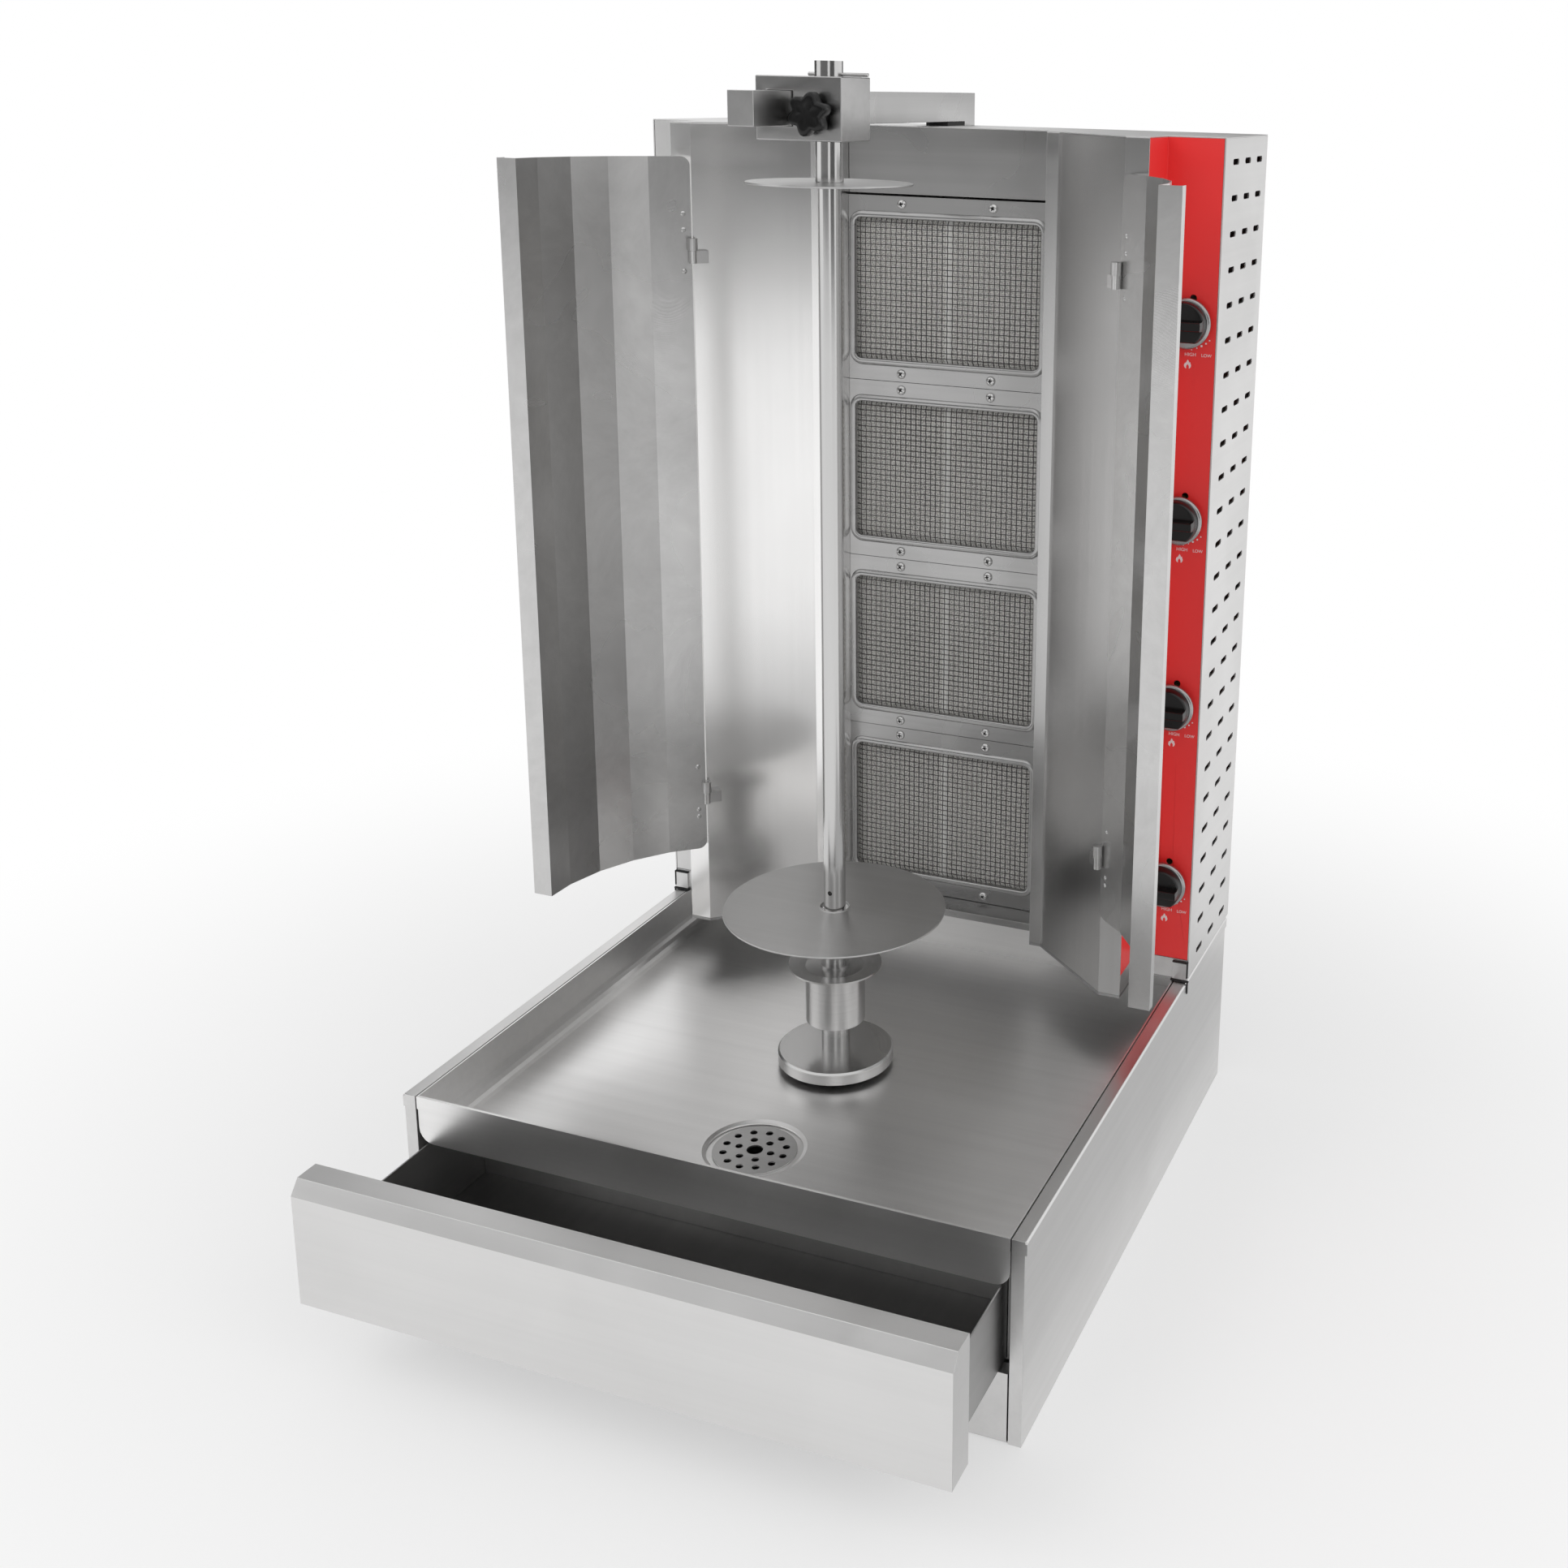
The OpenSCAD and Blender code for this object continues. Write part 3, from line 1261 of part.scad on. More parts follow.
// Right shield: straight strips folded in a curve, a flange along the free edge
function strip_dir(k) = let (a = first_turn + k * strip_turn) [cos(a), -sin(a)];
function strip_end(k) = k < 0 ? shield_face_r * [sin(first_turn), cos(first_turn)]
  : strip_end(k - 1) + (k < strip_count ? strip_l : last_strip_l) * strip_dir(k);
function shield_path() = let (free = strip_end(strip_count)) concat(
  [for (k = [-1 : strip_count]) strip_end(k)], [free + [edge_w, 0], free + [edge_w, edge_d]]);
module shield() {
  h = shield_top_z - shield_z;
  start = strip_end(-1);
  color("silver") from_front() translate([hinge_x, hinge_y, 0]) {
    difference() {
      translate([0, 0, shield_z]) linear_extrude(h) folded(shield_path(), tower_sheet);
      for (top = [0, 1]) translate([start.x, start.y, shield_z + top * h]) mirror([0, 0, top])
        rotate(-first_turn) along_y(-overrun, tower_sheet + 2 * overrun) difference() {
          translate([-overrun, -overrun])
            square([shield_corner_r + overrun, shield_corner_r + overrun]);
          translate([shield_corner_r, shield_corner_r]) circle(r = shield_corner_r);
        }
    }
    for (z = [hinge_low_z, hinge_high_z])
      translate([0, 0, z + hinge_l / 2 + flat_fit]) shield_ring();
    for (z = [hinge_low_z - rivet_in, hinge_low_z - 2 * rivet_in, hinge_low_z + hinge_l + 2 * rivet_in,
      hinge_high_z - rivet_in, hinge_high_z + hinge_l + rivet_in,
      hinge_high_z + hinge_l + 3 * rivet_in])
      translate([start.x, start.y, z]) rotate(-first_turn) translate([rivet_in, 0, 0])
        rotate([90, 0, 0]) cylinder(r1 = rivet_r, r2 = rivet_r / 2, h = rivet_t);
  }
}
module shield_ring() {
  ring_h = hinge_l / 2 - 2 * flat_fit;
  difference() {
    cylinder(r = pin_r + ring_wall, h = ring_h);
    translate([0, 0, -overrun]) cylinder(r = pin_r + running, h = ring_h + 2 * overrun);
  }
}
module shield_right() shield();
module shield_left() mirror([1, 0, 0]) shield();

base_side_left();
base_side_right();
base_front_rail();
base_bottom();
base_back();
drawer_runners();
fat_pan();
slide_frame();
arm_bar();
arm_pad();
tower_floor();
tower_back();
side_cover_left();
side_cover_right();
top_cover();
control_panel();
left_front_panel();
foot_trim();
bay_wall_left();
bay_wall_right();
header_fascia();
drip_ledge();
burner_frames();
burner_gauzes();
burner_plaques();
burner_boxes();
screws();
gas_manifold();
injector_pipes();
tap_bodies();
cable_gland();
hinge_brackets();
tap_plug_1();
tap_plug_2();
tap_plug_3();
tap_plug_4();
knob_1();
knob_2();
knob_3();
knob_4();
drawer_front();
drawer_box();
drain_strainer();
drive_carriage();
shaft_bearing();
gearbox_housing();
gear_motor();
motor_pinion();
output_gear();
drive_shaft();
drive_cup();
drip_disc();
lower_disc();
spit_rod();
upper_disc();
lock_sleeve();
clamp_block();
star_knob();
shield_left();
shield_right();
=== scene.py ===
# %% [markdown]
# # A gas doner kebab grill, dressed in Blender
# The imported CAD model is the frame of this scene: every body, size and joint
# comes from it, and nothing here moves or resizes it. This lesson adds what a
# camera sees from a step away: brushed and polished steel, woven gauze, knobs,
# screws and printed marks.

# %% Load the frame
import math
import bmesh
import bpy
from mathutils import Matrix, Vector


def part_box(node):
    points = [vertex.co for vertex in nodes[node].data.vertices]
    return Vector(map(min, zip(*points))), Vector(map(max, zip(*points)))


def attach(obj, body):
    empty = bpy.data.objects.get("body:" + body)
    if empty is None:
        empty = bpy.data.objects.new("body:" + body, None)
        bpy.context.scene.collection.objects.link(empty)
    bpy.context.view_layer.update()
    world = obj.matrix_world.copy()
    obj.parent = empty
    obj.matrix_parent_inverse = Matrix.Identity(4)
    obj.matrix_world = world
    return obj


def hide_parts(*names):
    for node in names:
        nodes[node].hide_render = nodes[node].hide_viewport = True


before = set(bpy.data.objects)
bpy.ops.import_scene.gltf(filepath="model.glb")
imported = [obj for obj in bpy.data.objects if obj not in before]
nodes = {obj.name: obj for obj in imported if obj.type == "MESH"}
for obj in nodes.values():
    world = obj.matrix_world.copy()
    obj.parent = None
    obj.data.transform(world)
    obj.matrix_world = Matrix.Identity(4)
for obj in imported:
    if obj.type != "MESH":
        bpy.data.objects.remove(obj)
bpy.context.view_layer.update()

MM = 0.001

# %% [markdown]
# ## Putting things in the scene
# A mesh, a lamp or a camera is only data until an object holds it and the
# scene knows the object. Clicking Add does both at once, and in a script one
# short function does.

# %% Helper: an object in the scene
def put_in_scene(name, data):
    obj = bpy.data.objects.new(name, data)
    bpy.context.scene.collection.objects.link(obj)
    return obj


print("helper ready: put_in_scene")

# %% [markdown]
# ## The camera
# The picture was taken from the right, a little above the pan, with the lens
# shifted. A camera could be placed by eye, but these numbers come from fitting
# the corners of the grill, so the view is computed: an eye point, three
# angles, a focal length in pixels and the pixel where the lens axis lands.

# %% Camera
PHOTO_W = 1932
FOCAL_PX = 2257.2
AXIS_PX = Vector((1294.4, 695.5))
EYE = Vector((0.64495, -1.34898, 0.96236))
YAW, PITCH, ROLL = (math.radians(a) for a in (19.315, -14.631, 1.372))
SENSOR_MM = 36.0
FAR_CLIP = 100.0

ahead = Vector((-math.sin(YAW) * math.cos(PITCH), math.cos(YAW) * math.cos(PITCH), math.sin(PITCH)))
side = Vector((math.cos(YAW), math.sin(YAW), 0))
above = side.cross(ahead)
rolled_side = side * math.cos(ROLL) + above * math.sin(ROLL)
rolled_above = above * math.cos(ROLL) - side * math.sin(ROLL)

lens = bpy.data.cameras.new("photo_camera")
lens.sensor_width = SENSOR_MM
lens.lens = FOCAL_PX * SENSOR_MM / PHOTO_W
lens.shift_x = -(AXIS_PX.x / PHOTO_W - 0.5)
lens.shift_y = AXIS_PX.y / PHOTO_W - 0.5
lens.clip_end = FAR_CLIP
camera = put_in_scene("photo_camera", lens)
camera.matrix_world = Matrix.Translation(EYE) @ Matrix(
    (rolled_side, rolled_above, -ahead)).transposed().to_4x4()
bpy.context.scene.camera = camera
print("camera: lens %.1f mm, shift %.3f %.3f" % (lens.lens, lens.shift_x, lens.shift_y))

# %% [markdown]
# ## Small helpers for shader trees
# A material here is a handful of nodes. Clicking them together by hand is
# fine for one, but nearly thirty finishes are quicker and clearer with one
# function that adds a node, sets its values and plugs in what feeds it. An
# input goes by its label, with _ for a space, or by its number, as in _0.

# %% Helpers: shader nodes
def plug(tree, socket, value):
    """Links a value that comes from another node, and sets any other value."""
    if isinstance(value, bpy.types.NodeSocket):
        tree.links.new(value, socket)
    else:
        socket.default_value = value


def add(tree, kind, out=0, settings=None, **inputs):
    """Adds a shader node and gives back one of its outputs."""
    node = tree.nodes.new("ShaderNode" + kind)
    for key, value in (settings or {}).items():
        setattr(node, key, value)
    for key, value in inputs.items():
        plug(tree, node.inputs[int(key[1:]) if key[0] == "_" else key.replace("_", " ")], value)
    return node.outputs[out]


def new_group(name, inputs, outputs):
    """Starts a node group, and gives it back with the ends that its nodes plug into."""
    tree = bpy.data.node_groups.new(name, "ShaderNodeTree")
    for label, kind, value in inputs:
        socket = tree.interface.new_socket(label, in_out="INPUT", socket_type="NodeSocket" + kind)
        if value is not None:
            socket.default_value = value
    for label, kind in outputs:
        tree.interface.new_socket(label, in_out="OUTPUT", socket_type="NodeSocket" + kind)
    print("group:", name)
    return tree, tree.nodes.new("NodeGroupInput").outputs, tree.nodes.new("NodeGroupOutput").inputs


def use(tree, group, **inputs):
    """Places a node group in a material with the material's own values."""
    node = tree.nodes.new("ShaderNodeGroup")
    node.node_tree = group
    for key, value in inputs.items():
        plug(tree, node.inputs[key.replace("_", " ")], value)
    return node.outputs


def grey(level, warm=0.0):
    return (level * (1 + warm), level, level * (1 - warm), 1)


print("helpers ready: plug, add, new_group, use, grey")

# %% [markdown]
# ## Brushed grain
# Steel sheet is brushed along one direction, so its scratches are long and
# thin. A picture of scratches would do, but noise that is squeezed across the
# grain and stretched along it never repeats. The group gives a height for the
# bump, and soft streaks for the colour.

# %% Node group: brushed grain
ALONG_X, ALONG_Y, ALONG_Z = (12, 900, 900), (900, 12, 900), (900, 900, 12)
STREAK_SHARE = 0.13

brushed_grain, g_in, g_out = new_group(
    "brushed grain",
    [("Place", "Vector", None), ("Stretch", "Vector", ALONG_X)],
    [("Height", "Float"), ("Streaks", "Float")])
fine_at = add(brushed_grain, "VectorMath", settings={"operation": "MULTIPLY"},
              _0=g_in["Place"], _1=g_in["Stretch"])
coarse_at = add(brushed_grain, "VectorMath", settings={"operation": "SCALE"},
                _0=fine_at, Scale=STREAK_SHARE)
fine = add(brushed_grain, "TexNoise", Vector=fine_at, Scale=1.0, Detail=3.0, Roughness=0.6)
coarse = add(brushed_grain, "TexNoise", Vector=coarse_at, Scale=1.0, Detail=4.0, Roughness=0.65)
brushed_grain.links.new(fine, g_out["Height"])
brushed_grain.links.new(coarse, g_out["Streaks"])

# %% [markdown]
# ## Turned grain
# Discs and shafts are finished on a lathe, so their scratches run in rings
# about the axis. The same noise is read by radius and height instead of by X
# and Y, which bends the streaks round the axis.

# %% Node group: turned grain
RING_FINENESS = 1800.0
RING_STREAK_SHARE = 0.2

turned_grain, g_in, g_out = new_group(
    "turned grain",
    [("Place", "Vector", None), ("Axis at", "Vector", (0, 0, 0)), ("Fineness", "Float", RING_FINENESS)],
    [("Height", "Float"), ("Streaks", "Float")])
from_axis = add(turned_grain, "VectorMath", settings={"operation": "SUBTRACT"},
                _0=g_in["Place"], _1=g_in["Axis at"])
flat = add(turned_grain, "VectorMath", settings={"operation": "MULTIPLY"},
           _0=from_axis, _1=(1, 1, 0))
radius = add(turned_grain, "VectorMath", out=1, settings={"operation": "LENGTH"}, _0=flat)
height_at = add(turned_grain, "SeparateXYZ", out=2, Vector=from_axis)
rings_at = add(turned_grain, "CombineXYZ", X=radius, Y=height_at, Z=0.0)
fine_at = add(turned_grain, "VectorMath", settings={"operation": "SCALE"},
              _0=rings_at, Scale=g_in["Fineness"])
coarse_at = add(turned_grain, "VectorMath", settings={"operation": "SCALE"},
                _0=fine_at, Scale=RING_STREAK_SHARE)
fine = add(turned_grain, "TexNoise", Vector=fine_at, Scale=1.0, Detail=2.0, Roughness=0.5)
coarse = add(turned_grain, "TexNoise", Vector=coarse_at, Scale=1.0, Detail=3.0, Roughness=0.6)
turned_grain.links.new(fine, g_out["Height"])
turned_grain.links.new(coarse, g_out["Streaks"])

# %% [markdown]
# ## Hand marks
# Steel that has been wiped shows cloudy patches and a few small specks. Two
# noises of very different size make them: the clouds change how sharp a
# reflection is, the specks darken single points.

# %% Node group: hand marks
SPECK_FINENESS = 38.0
SPECKS_FROM, SPECKS_TO = 0.70, 0.78
CLOUDS_FROM, CLOUDS_TO = 0.32, 0.68

hand_marks, g_in, g_out = new_group(
    "hand marks",
    [("Place", "Vector", None), ("Size", "Float", 9.0)],
    [("Clouds", "Float"), ("Specks", "Float")])
clouds = add(hand_marks, "TexNoise", Vector=g_in["Place"], Scale=g_in["Size"],
             Detail=3.0, Roughness=0.5, Distortion=0.6)
speck_size = add(hand_marks, "Math", settings={"operation": "MULTIPLY"},
                 _0=g_in["Size"], _1=SPECK_FINENESS)
speck_noise = add(hand_marks, "TexNoise", Vector=g_in["Place"], Scale=speck_size, Detail=1.0)
specks = add(hand_marks, "MapRange", Value=speck_noise, From_Min=SPECKS_FROM, From_Max=SPECKS_TO)
spread = add(hand_marks, "MapRange", Value=clouds, From_Min=CLOUDS_FROM, From_Max=CLOUDS_TO)
hand_marks.links.new(spread, g_out["Clouds"])
hand_marks.links.new(specks, g_out["Specks"])

# %% [markdown]
# ## Wiped arcs
# The shields are polished by hand with a round pad, which leaves short arcs.
# Rings about one centre would look like a target, so the rings of a wave
# texture are bent by noise, and then they read as many overlapping strokes.

# %% Node group: wiped arcs
ARC_BEND = 0.12

wiped_arcs, g_in, g_out = new_group(
    "wiped arcs",
    [("Place", "Vector", None), ("Size", "Float", 160.0)],
    [("Height", "Float"), ("Streaks", "Float")])
bend = add(wiped_arcs, "TexNoise", out=1, Vector=g_in["Place"], Scale=7.0, Detail=1.0)
pushed = add(wiped_arcs, "VectorMath", settings={"operation": "MULTIPLY_ADD"},
             _0=bend, _1=(ARC_BEND, ARC_BEND, ARC_BEND), _2=g_in["Place"])
arcs = add(wiped_arcs, "TexWave", out=1,
           settings={"wave_type": "RINGS", "rings_direction": "SPHERICAL"},
           Vector=pushed, Scale=g_in["Size"], Distortion=3.0, Detail=2.0)
wide = add(wiped_arcs, "TexNoise", Vector=pushed, Scale=60.0, Detail=4.0, Roughness=0.7)
wiped_arcs.links.new(arcs, g_out["Height"])
wiped_arcs.links.new(wide, g_out["Streaks"])

# %% [markdown]
# ## Two tones
# Every finish here varies a little between a darker and a lighter tone. A
# single flat colour looks like plastic film, so one group mixes the two tones
# by any mask and takes a share of specks out of the result.

# %% Node group: two tones
SPECK_STRENGTH = 0.25

two_tones, g_in, g_out = new_group(
    "two tones",
    [("Dark", "Color", (0.3, 0.3, 0.3, 1)), ("Light", "Color", (0.6, 0.6, 0.6, 1)),
     ("Mask", "Float", 0.5), ("Specks", "Float", 0.0)],
    [("Colour", "Color")])
toned = add(two_tones, "Mix", out=2, settings={"data_type": "RGBA"},
            _0=g_in["Mask"], _6=g_in["Dark"], _7=g_in["Light"])
speck_share = add(two_tones, "Math", settings={"operation": "MULTIPLY"},
                  _0=g_in["Specks"], _1=SPECK_STRENGTH)
marked = add(two_tones, "Mix", out=2, settings={"data_type": "RGBA"},
             _0=speck_share, _6=toned, _7=g_in["Dark"])
two_tones.links.new(marked, g_out["Colour"])

# %% [markdown]
# ## Moulded skin
# Enamel, plastic and rubber have no grain, only a faint orange-peel skin. A
# small even noise gives its height, and a slower one the soft change in gloss
# that keeps a painted panel from looking printed.

# %% Node group: moulded skin
SHEEN_SHARE = 0.02

moulded_skin, g_in, g_out = new_group(
    "moulded skin",
    [("Place", "Vector", None), ("Size", "Float", 500.0)],
    [("Height", "Float"), ("Sheen mask", "Float")])
peel = add(moulded_skin, "TexNoise", Vector=g_in["Place"], Scale=g_in["Size"], Detail=2.0)
slow_size = add(moulded_skin, "Math", settings={"operation": "MULTIPLY"},
                _0=g_in["Size"], _1=SHEEN_SHARE)
slow = add(moulded_skin, "TexNoise", Vector=g_in["Place"], Scale=slow_size, Detail=2.0)
moulded_skin.links.new(peel, g_out["Height"])
moulded_skin.links.new(slow, g_out["Sheen mask"])

# %% [markdown]
# ## What all finishes share
# Every finish has one main shader, and reads its place on the surface from
# the object, in metres. A ready-made material could be copied and changed,
# but starting each from an empty tree leaves nothing in it by chance.

# %% Helpers: materials
def bare_material(name):
    material = bpy.data.materials.new(name)
    material.use_nodes = True
    material.node_tree.nodes.clear()
    return material, material.node_tree


def show(tree, shader, kind="Material"):
    """Plugs a shader into the output of its material or world."""
    tree.links.new(shader, tree.nodes.new("ShaderNodeOutput" + kind).inputs[0])


def start_material(name, metallic):
    """A material with its main shader and the place on the surface, in metres."""
    material, tree = bare_material(name)
    shader = tree.nodes.new("ShaderNodeBsdfPrincipled")
    shader.inputs["Metallic"].default_value = metallic
    show(tree, shader.outputs[0])
    place = add(tree, "TexCoord", out=3)
    return material, tree, shader, place


def dress(tree, shader, colour, rough, height, bump, distance):
    tree.links.new(colour, shader.inputs["Base Color"])
    tree.links.new(rough, shader.inputs["Roughness"])
    normal = add(tree, "Bump", Height=height, Strength=bump, Distance=distance)
    tree.links.new(normal, shader.inputs["Normal"])


def gloss(tree, mask, rough, spread):
    """Roughness that wanders about its value by a mask."""
    return add(tree, "MapRange", Value=mask, To_Min=rough * spread[0], To_Max=rough * spread[1])


print("helpers ready: bare_material, show, start_material, dress, gloss")

# %% [markdown]
# ## The recipe for steel
# A sheet of steel is one recipe with different numbers: how light it is, how
# sharp it mirrors, which way it was brushed and how deep. Each panel could
# have its own tree, but one recipe keeps them alike.

# %% Recipe: steel
BRIGHTEST = 0.98
STEEL_GLOSS = (0.86, 1.16)
GRAIN_DEPTH = 0.00006


def steel(name, tone, rough, grain=ALONG_X, contrast=0.10, bump=0.25,
          marks=8.0, warm=0.006, kind="brushed", axis=(0, 0, 0)):
    material, tree, shader, place = start_material(name, 1.0)
    if kind == "brushed":
        lines = use(tree, brushed_grain, Place=place, Stretch=grain)
    elif kind == "turned":
        lines = use(tree, turned_grain, Place=place, Axis_at=axis)
    else:
        lines = use(tree, wiped_arcs, Place=place)
    marked = use(tree, hand_marks, Place=place, Size=marks)
    colour = use(tree, two_tones, Dark=grey(tone * (1 - contrast), warm),
                 Light=grey(min(tone * (1 + contrast), BRIGHTEST), warm),
                 Mask=lines["Streaks"], Specks=marked["Specks"])["Colour"]
    dress(tree, shader, colour, gloss(tree, marked["Clouds"], rough, STEEL_GLOSS),
          lines["Height"], bump, GRAIN_DEPTH)
    return material


print("recipe ready: steel")

# %% [markdown]
# ## The recipe for what is coated, moulded or cast
# Enamel, plastic, rubber, paint and castings differ in colour, gloss and the
# size of their skin. They could be steel with other numbers, but they have no
# grain, so they have a recipe of their own, with a clear coat where asked.

# %% Recipe: coated, moulded or cast
SKIN_GLOSS = (0.85, 1.2)
SKIN_DEPTH = 0.0002
COAT_ROUGHNESS = 0.12


def coated(name, dark, light, rough, size=500.0, bump=0.08, coat=0.0, metallic=0.0):
    material, tree, shader, place = start_material(name, metallic)
    skin = use(tree, moulded_skin, Place=place, Size=size)
    colour = use(tree, two_tones, Dark=(*dark, 1), Light=(*light, 1),
                 Mask=skin["Sheen mask"])["Colour"]
    if coat:
        shader.inputs["Coat Weight"].default_value = coat
        shader.inputs["Coat Roughness"].default_value = COAT_ROUGHNESS
    dress(tree, shader, colour, gloss(tree, skin["Sheen mask"], rough, SKIN_GLOSS),
          skin["Height"], bump, SKIN_DEPTH)
    return material


print("recipe ready: coated")

# %% [markdown]
# ## The steel finishes of this grill
# The photograph shows many kinds of steel on one machine: matte outer
# covers, a softly brushed pan, mirror-like bay walls, hand-polished shields,
# a turned spit and bright screws. The parts inside are taken for raw
# zinc-plated sheet. One steel for all would be simpler and look like a toy,
# so each has its own tone and grain direction. The two bay walls are one
# kind of sheet with tones of painted light: the left one has a painted
# reflection of the bright room, the right one painted shade of the bay.

# %% Steel
SPIT_AXIS = (0, -0.0462, 0)

cover_steel = steel("cover_steel", 0.74, 0.46, ALONG_Y, 0.05, 0.20)
side_steel = steel("side_steel", 0.72, 0.38, ALONG_Y, 0.07, 0.14)
front_steel = steel("front_steel", 0.76, 0.46, ALONG_X, 0.04, 0.20)
pan_steel = steel("pan_steel", 0.94, 0.36, ALONG_X, 0.08, 0.30, marks=5.0)
# Painted light: the left wall's bright tone is a painted reflection of the room, and the right wall's dark
# tone is painted shade of the bay.
painted_light_bay_steel = steel("painted_light_bay_steel", 0.93, 0.20, ALONG_Z, 0.04, 0.02, marks=4.0)
painted_shade_bay_steel = steel("painted_shade_bay_steel", 0.52, 0.22, ALONG_Z, 0.06, 0.02, marks=4.0)
frame_steel = steel("frame_steel", 0.44, 0.27, ALONG_X, 0.10, 0.06, marks=14.0)
shield_steel = steel("shield_steel", 0.60, 0.28, contrast=0.12, bump=0.10, marks=7.0, kind="wiped")
disc_steel = steel("disc_steel", 0.58, 0.38, ALONG_X, 0.07, 0.22, marks=12.0)
turned_steel = steel("turned_steel", 0.58, 0.26, contrast=0.12, bump=0.30, kind="turned", axis=SPIT_AXIS)
rod_steel = steel("rod_steel", 0.60, 0.16, ALONG_Z, 0.08, 0.10)
block_steel = steel("block_steel", 0.50, 0.24, ALONG_X, 0.10, 0.08, marks=22.0)
bar_steel = steel("bar_steel", 0.56, 0.28, ALONG_Y, 0.10, 0.10, marks=16.0)
zinc_steel = steel("zinc_steel", 0.42, 0.42, (90, 90, 90), 0.16, 0.12, marks=24.0)
inner_steel = steel("inner_steel", 0.44, 0.42, ALONG_Y, 0.08, 0.18)
hardware_steel = steel("hardware_steel", 0.62, 0.20, (300, 300, 300), 0.10, 0.10, marks=60.0)
machined_steel = steel("machined_steel", 0.50, 0.30, (400, 400, 400), 0.12, 0.12)
print("steel finishes:", len([m for m in bpy.data.materials if m.name.endswith("_steel")]))

# %% [markdown]
# ## Everything that isn't steel
# Red enamel on the control panel, black plastic knobs, a rubber pad, brass
# taps, cast aluminium and dark motor paint. Each could have a texture of its
# own, but at this distance they differ in colour and gloss alone, so they
# share the moulded skin. The enamel also wears a thin clear coat for its
# hard highlight, and the black plastic mirrors a little less than usual.

# %% Coated, moulded and cast finishes
PLASTIC_MIRROR = 0.35

red_enamel = coated("red_enamel", (0.82, 0.030, 0.030), (0.90, 0.042, 0.040), 0.38, 420.0, 0.02, coat=0.12)
black_plastic = coated("black_plastic", (0.004, 0.004, 0.004), (0.009, 0.009, 0.009), 0.26, 900.0, 0.04)
black_shader = black_plastic.node_tree.nodes["Principled BSDF"]
black_shader.inputs["Specular IOR Level"].default_value = PLASTIC_MIRROR
skirt_plastic = coated("skirt_plastic", (0.34, 0.34, 0.34), (0.42, 0.42, 0.42), 0.22, 900.0, 0.03,
                       metallic=0.9)
rubber = coated("rubber", (0.012, 0.012, 0.012), (0.03, 0.03, 0.03), 0.75, 700.0, 0.25)
dark_paint = coated("dark_paint", (0.03, 0.03, 0.032), (0.05, 0.05, 0.055), 0.5, 600.0, 0.15)
aluminium = coated("aluminium", (0.45, 0.46, 0.47), (0.58, 0.59, 0.60), 0.45, 800.0, 0.35, metallic=1.0)
brass = coated("brass", (0.62, 0.42, 0.16), (0.74, 0.53, 0.24), 0.28, 400.0, 0.10, metallic=1.0)
gauze_wire = coated("gauze_wire", (0.07, 0.066, 0.062), (0.15, 0.145, 0.14), 0.42, 300.0, 0.2, metallic=0.8)
white_print = coated("white_print", (0.80, 0.76, 0.76), (0.92, 0.88, 0.88), 0.5, 900.0, 0.03)
cement = coated("cement", (0.90, 0.89, 0.87), (0.96, 0.95, 0.93), 0.9, 500.0, 0.3)
print("coated, moulded and cast finishes made")

# %% [markdown]
# ## Perforated ceramic
# A radiant plaque is pale fired clay with thousands of small holes. Modelling
# each hole would cost millions of faces for something finer than a pixel, so
# a cell texture draws them: round pits on a pale ground, darkened with painted
# shade for the inside of each hole, with a depth that feeds the bump.

# %% Ceramic
PITS_PER_M = 600.0
PIT_FROM, PIT_TO = 0.22, 0.46
PIT_DEPTH, PIT_BUMP = 0.0006, 0.6
CHALKY_FROM, CHALKY_TO = 0.8, 0.95

ceramic, tree, shader, place = start_material("ceramic", 0.0)
pits = add(tree, "TexVoronoi", settings={"feature": "F1"},
           Vector=place, Scale=PITS_PER_M, Randomness=0.35)
rim = add(tree, "MapRange", Value=pits, From_Min=PIT_FROM, From_Max=PIT_TO)
cloudy = use(tree, hand_marks, Place=place, Size=30.0)
# The dark tone of the pits is painted shade inside the holes; the same mask gives their real depth to the
# bump.
tone = use(tree, two_tones, Dark=(0.30, 0.29, 0.275, 1), Light=(0.90, 0.88, 0.85, 1),
           Mask=rim, Specks=cloudy["Specks"])["Colour"]
chalky = add(tree, "MapRange", Value=cloudy["Clouds"], To_Min=CHALKY_FROM, To_Max=CHALKY_TO)
dress(tree, shader, tone, chalky, rim, PIT_BUMP, PIT_DEPTH)
print("ceramic: %.0f pits to the metre" % PITS_PER_M)

# %% [markdown]
# ## Dress the CAD nodes
# Most sheets already have the right shape. They could be copied and rebuilt,
# but it is simpler and exact to keep their CAD mesh and only give it a
# finish. The table says which finish goes on which node, and a test makes
# sure that none is forgotten.

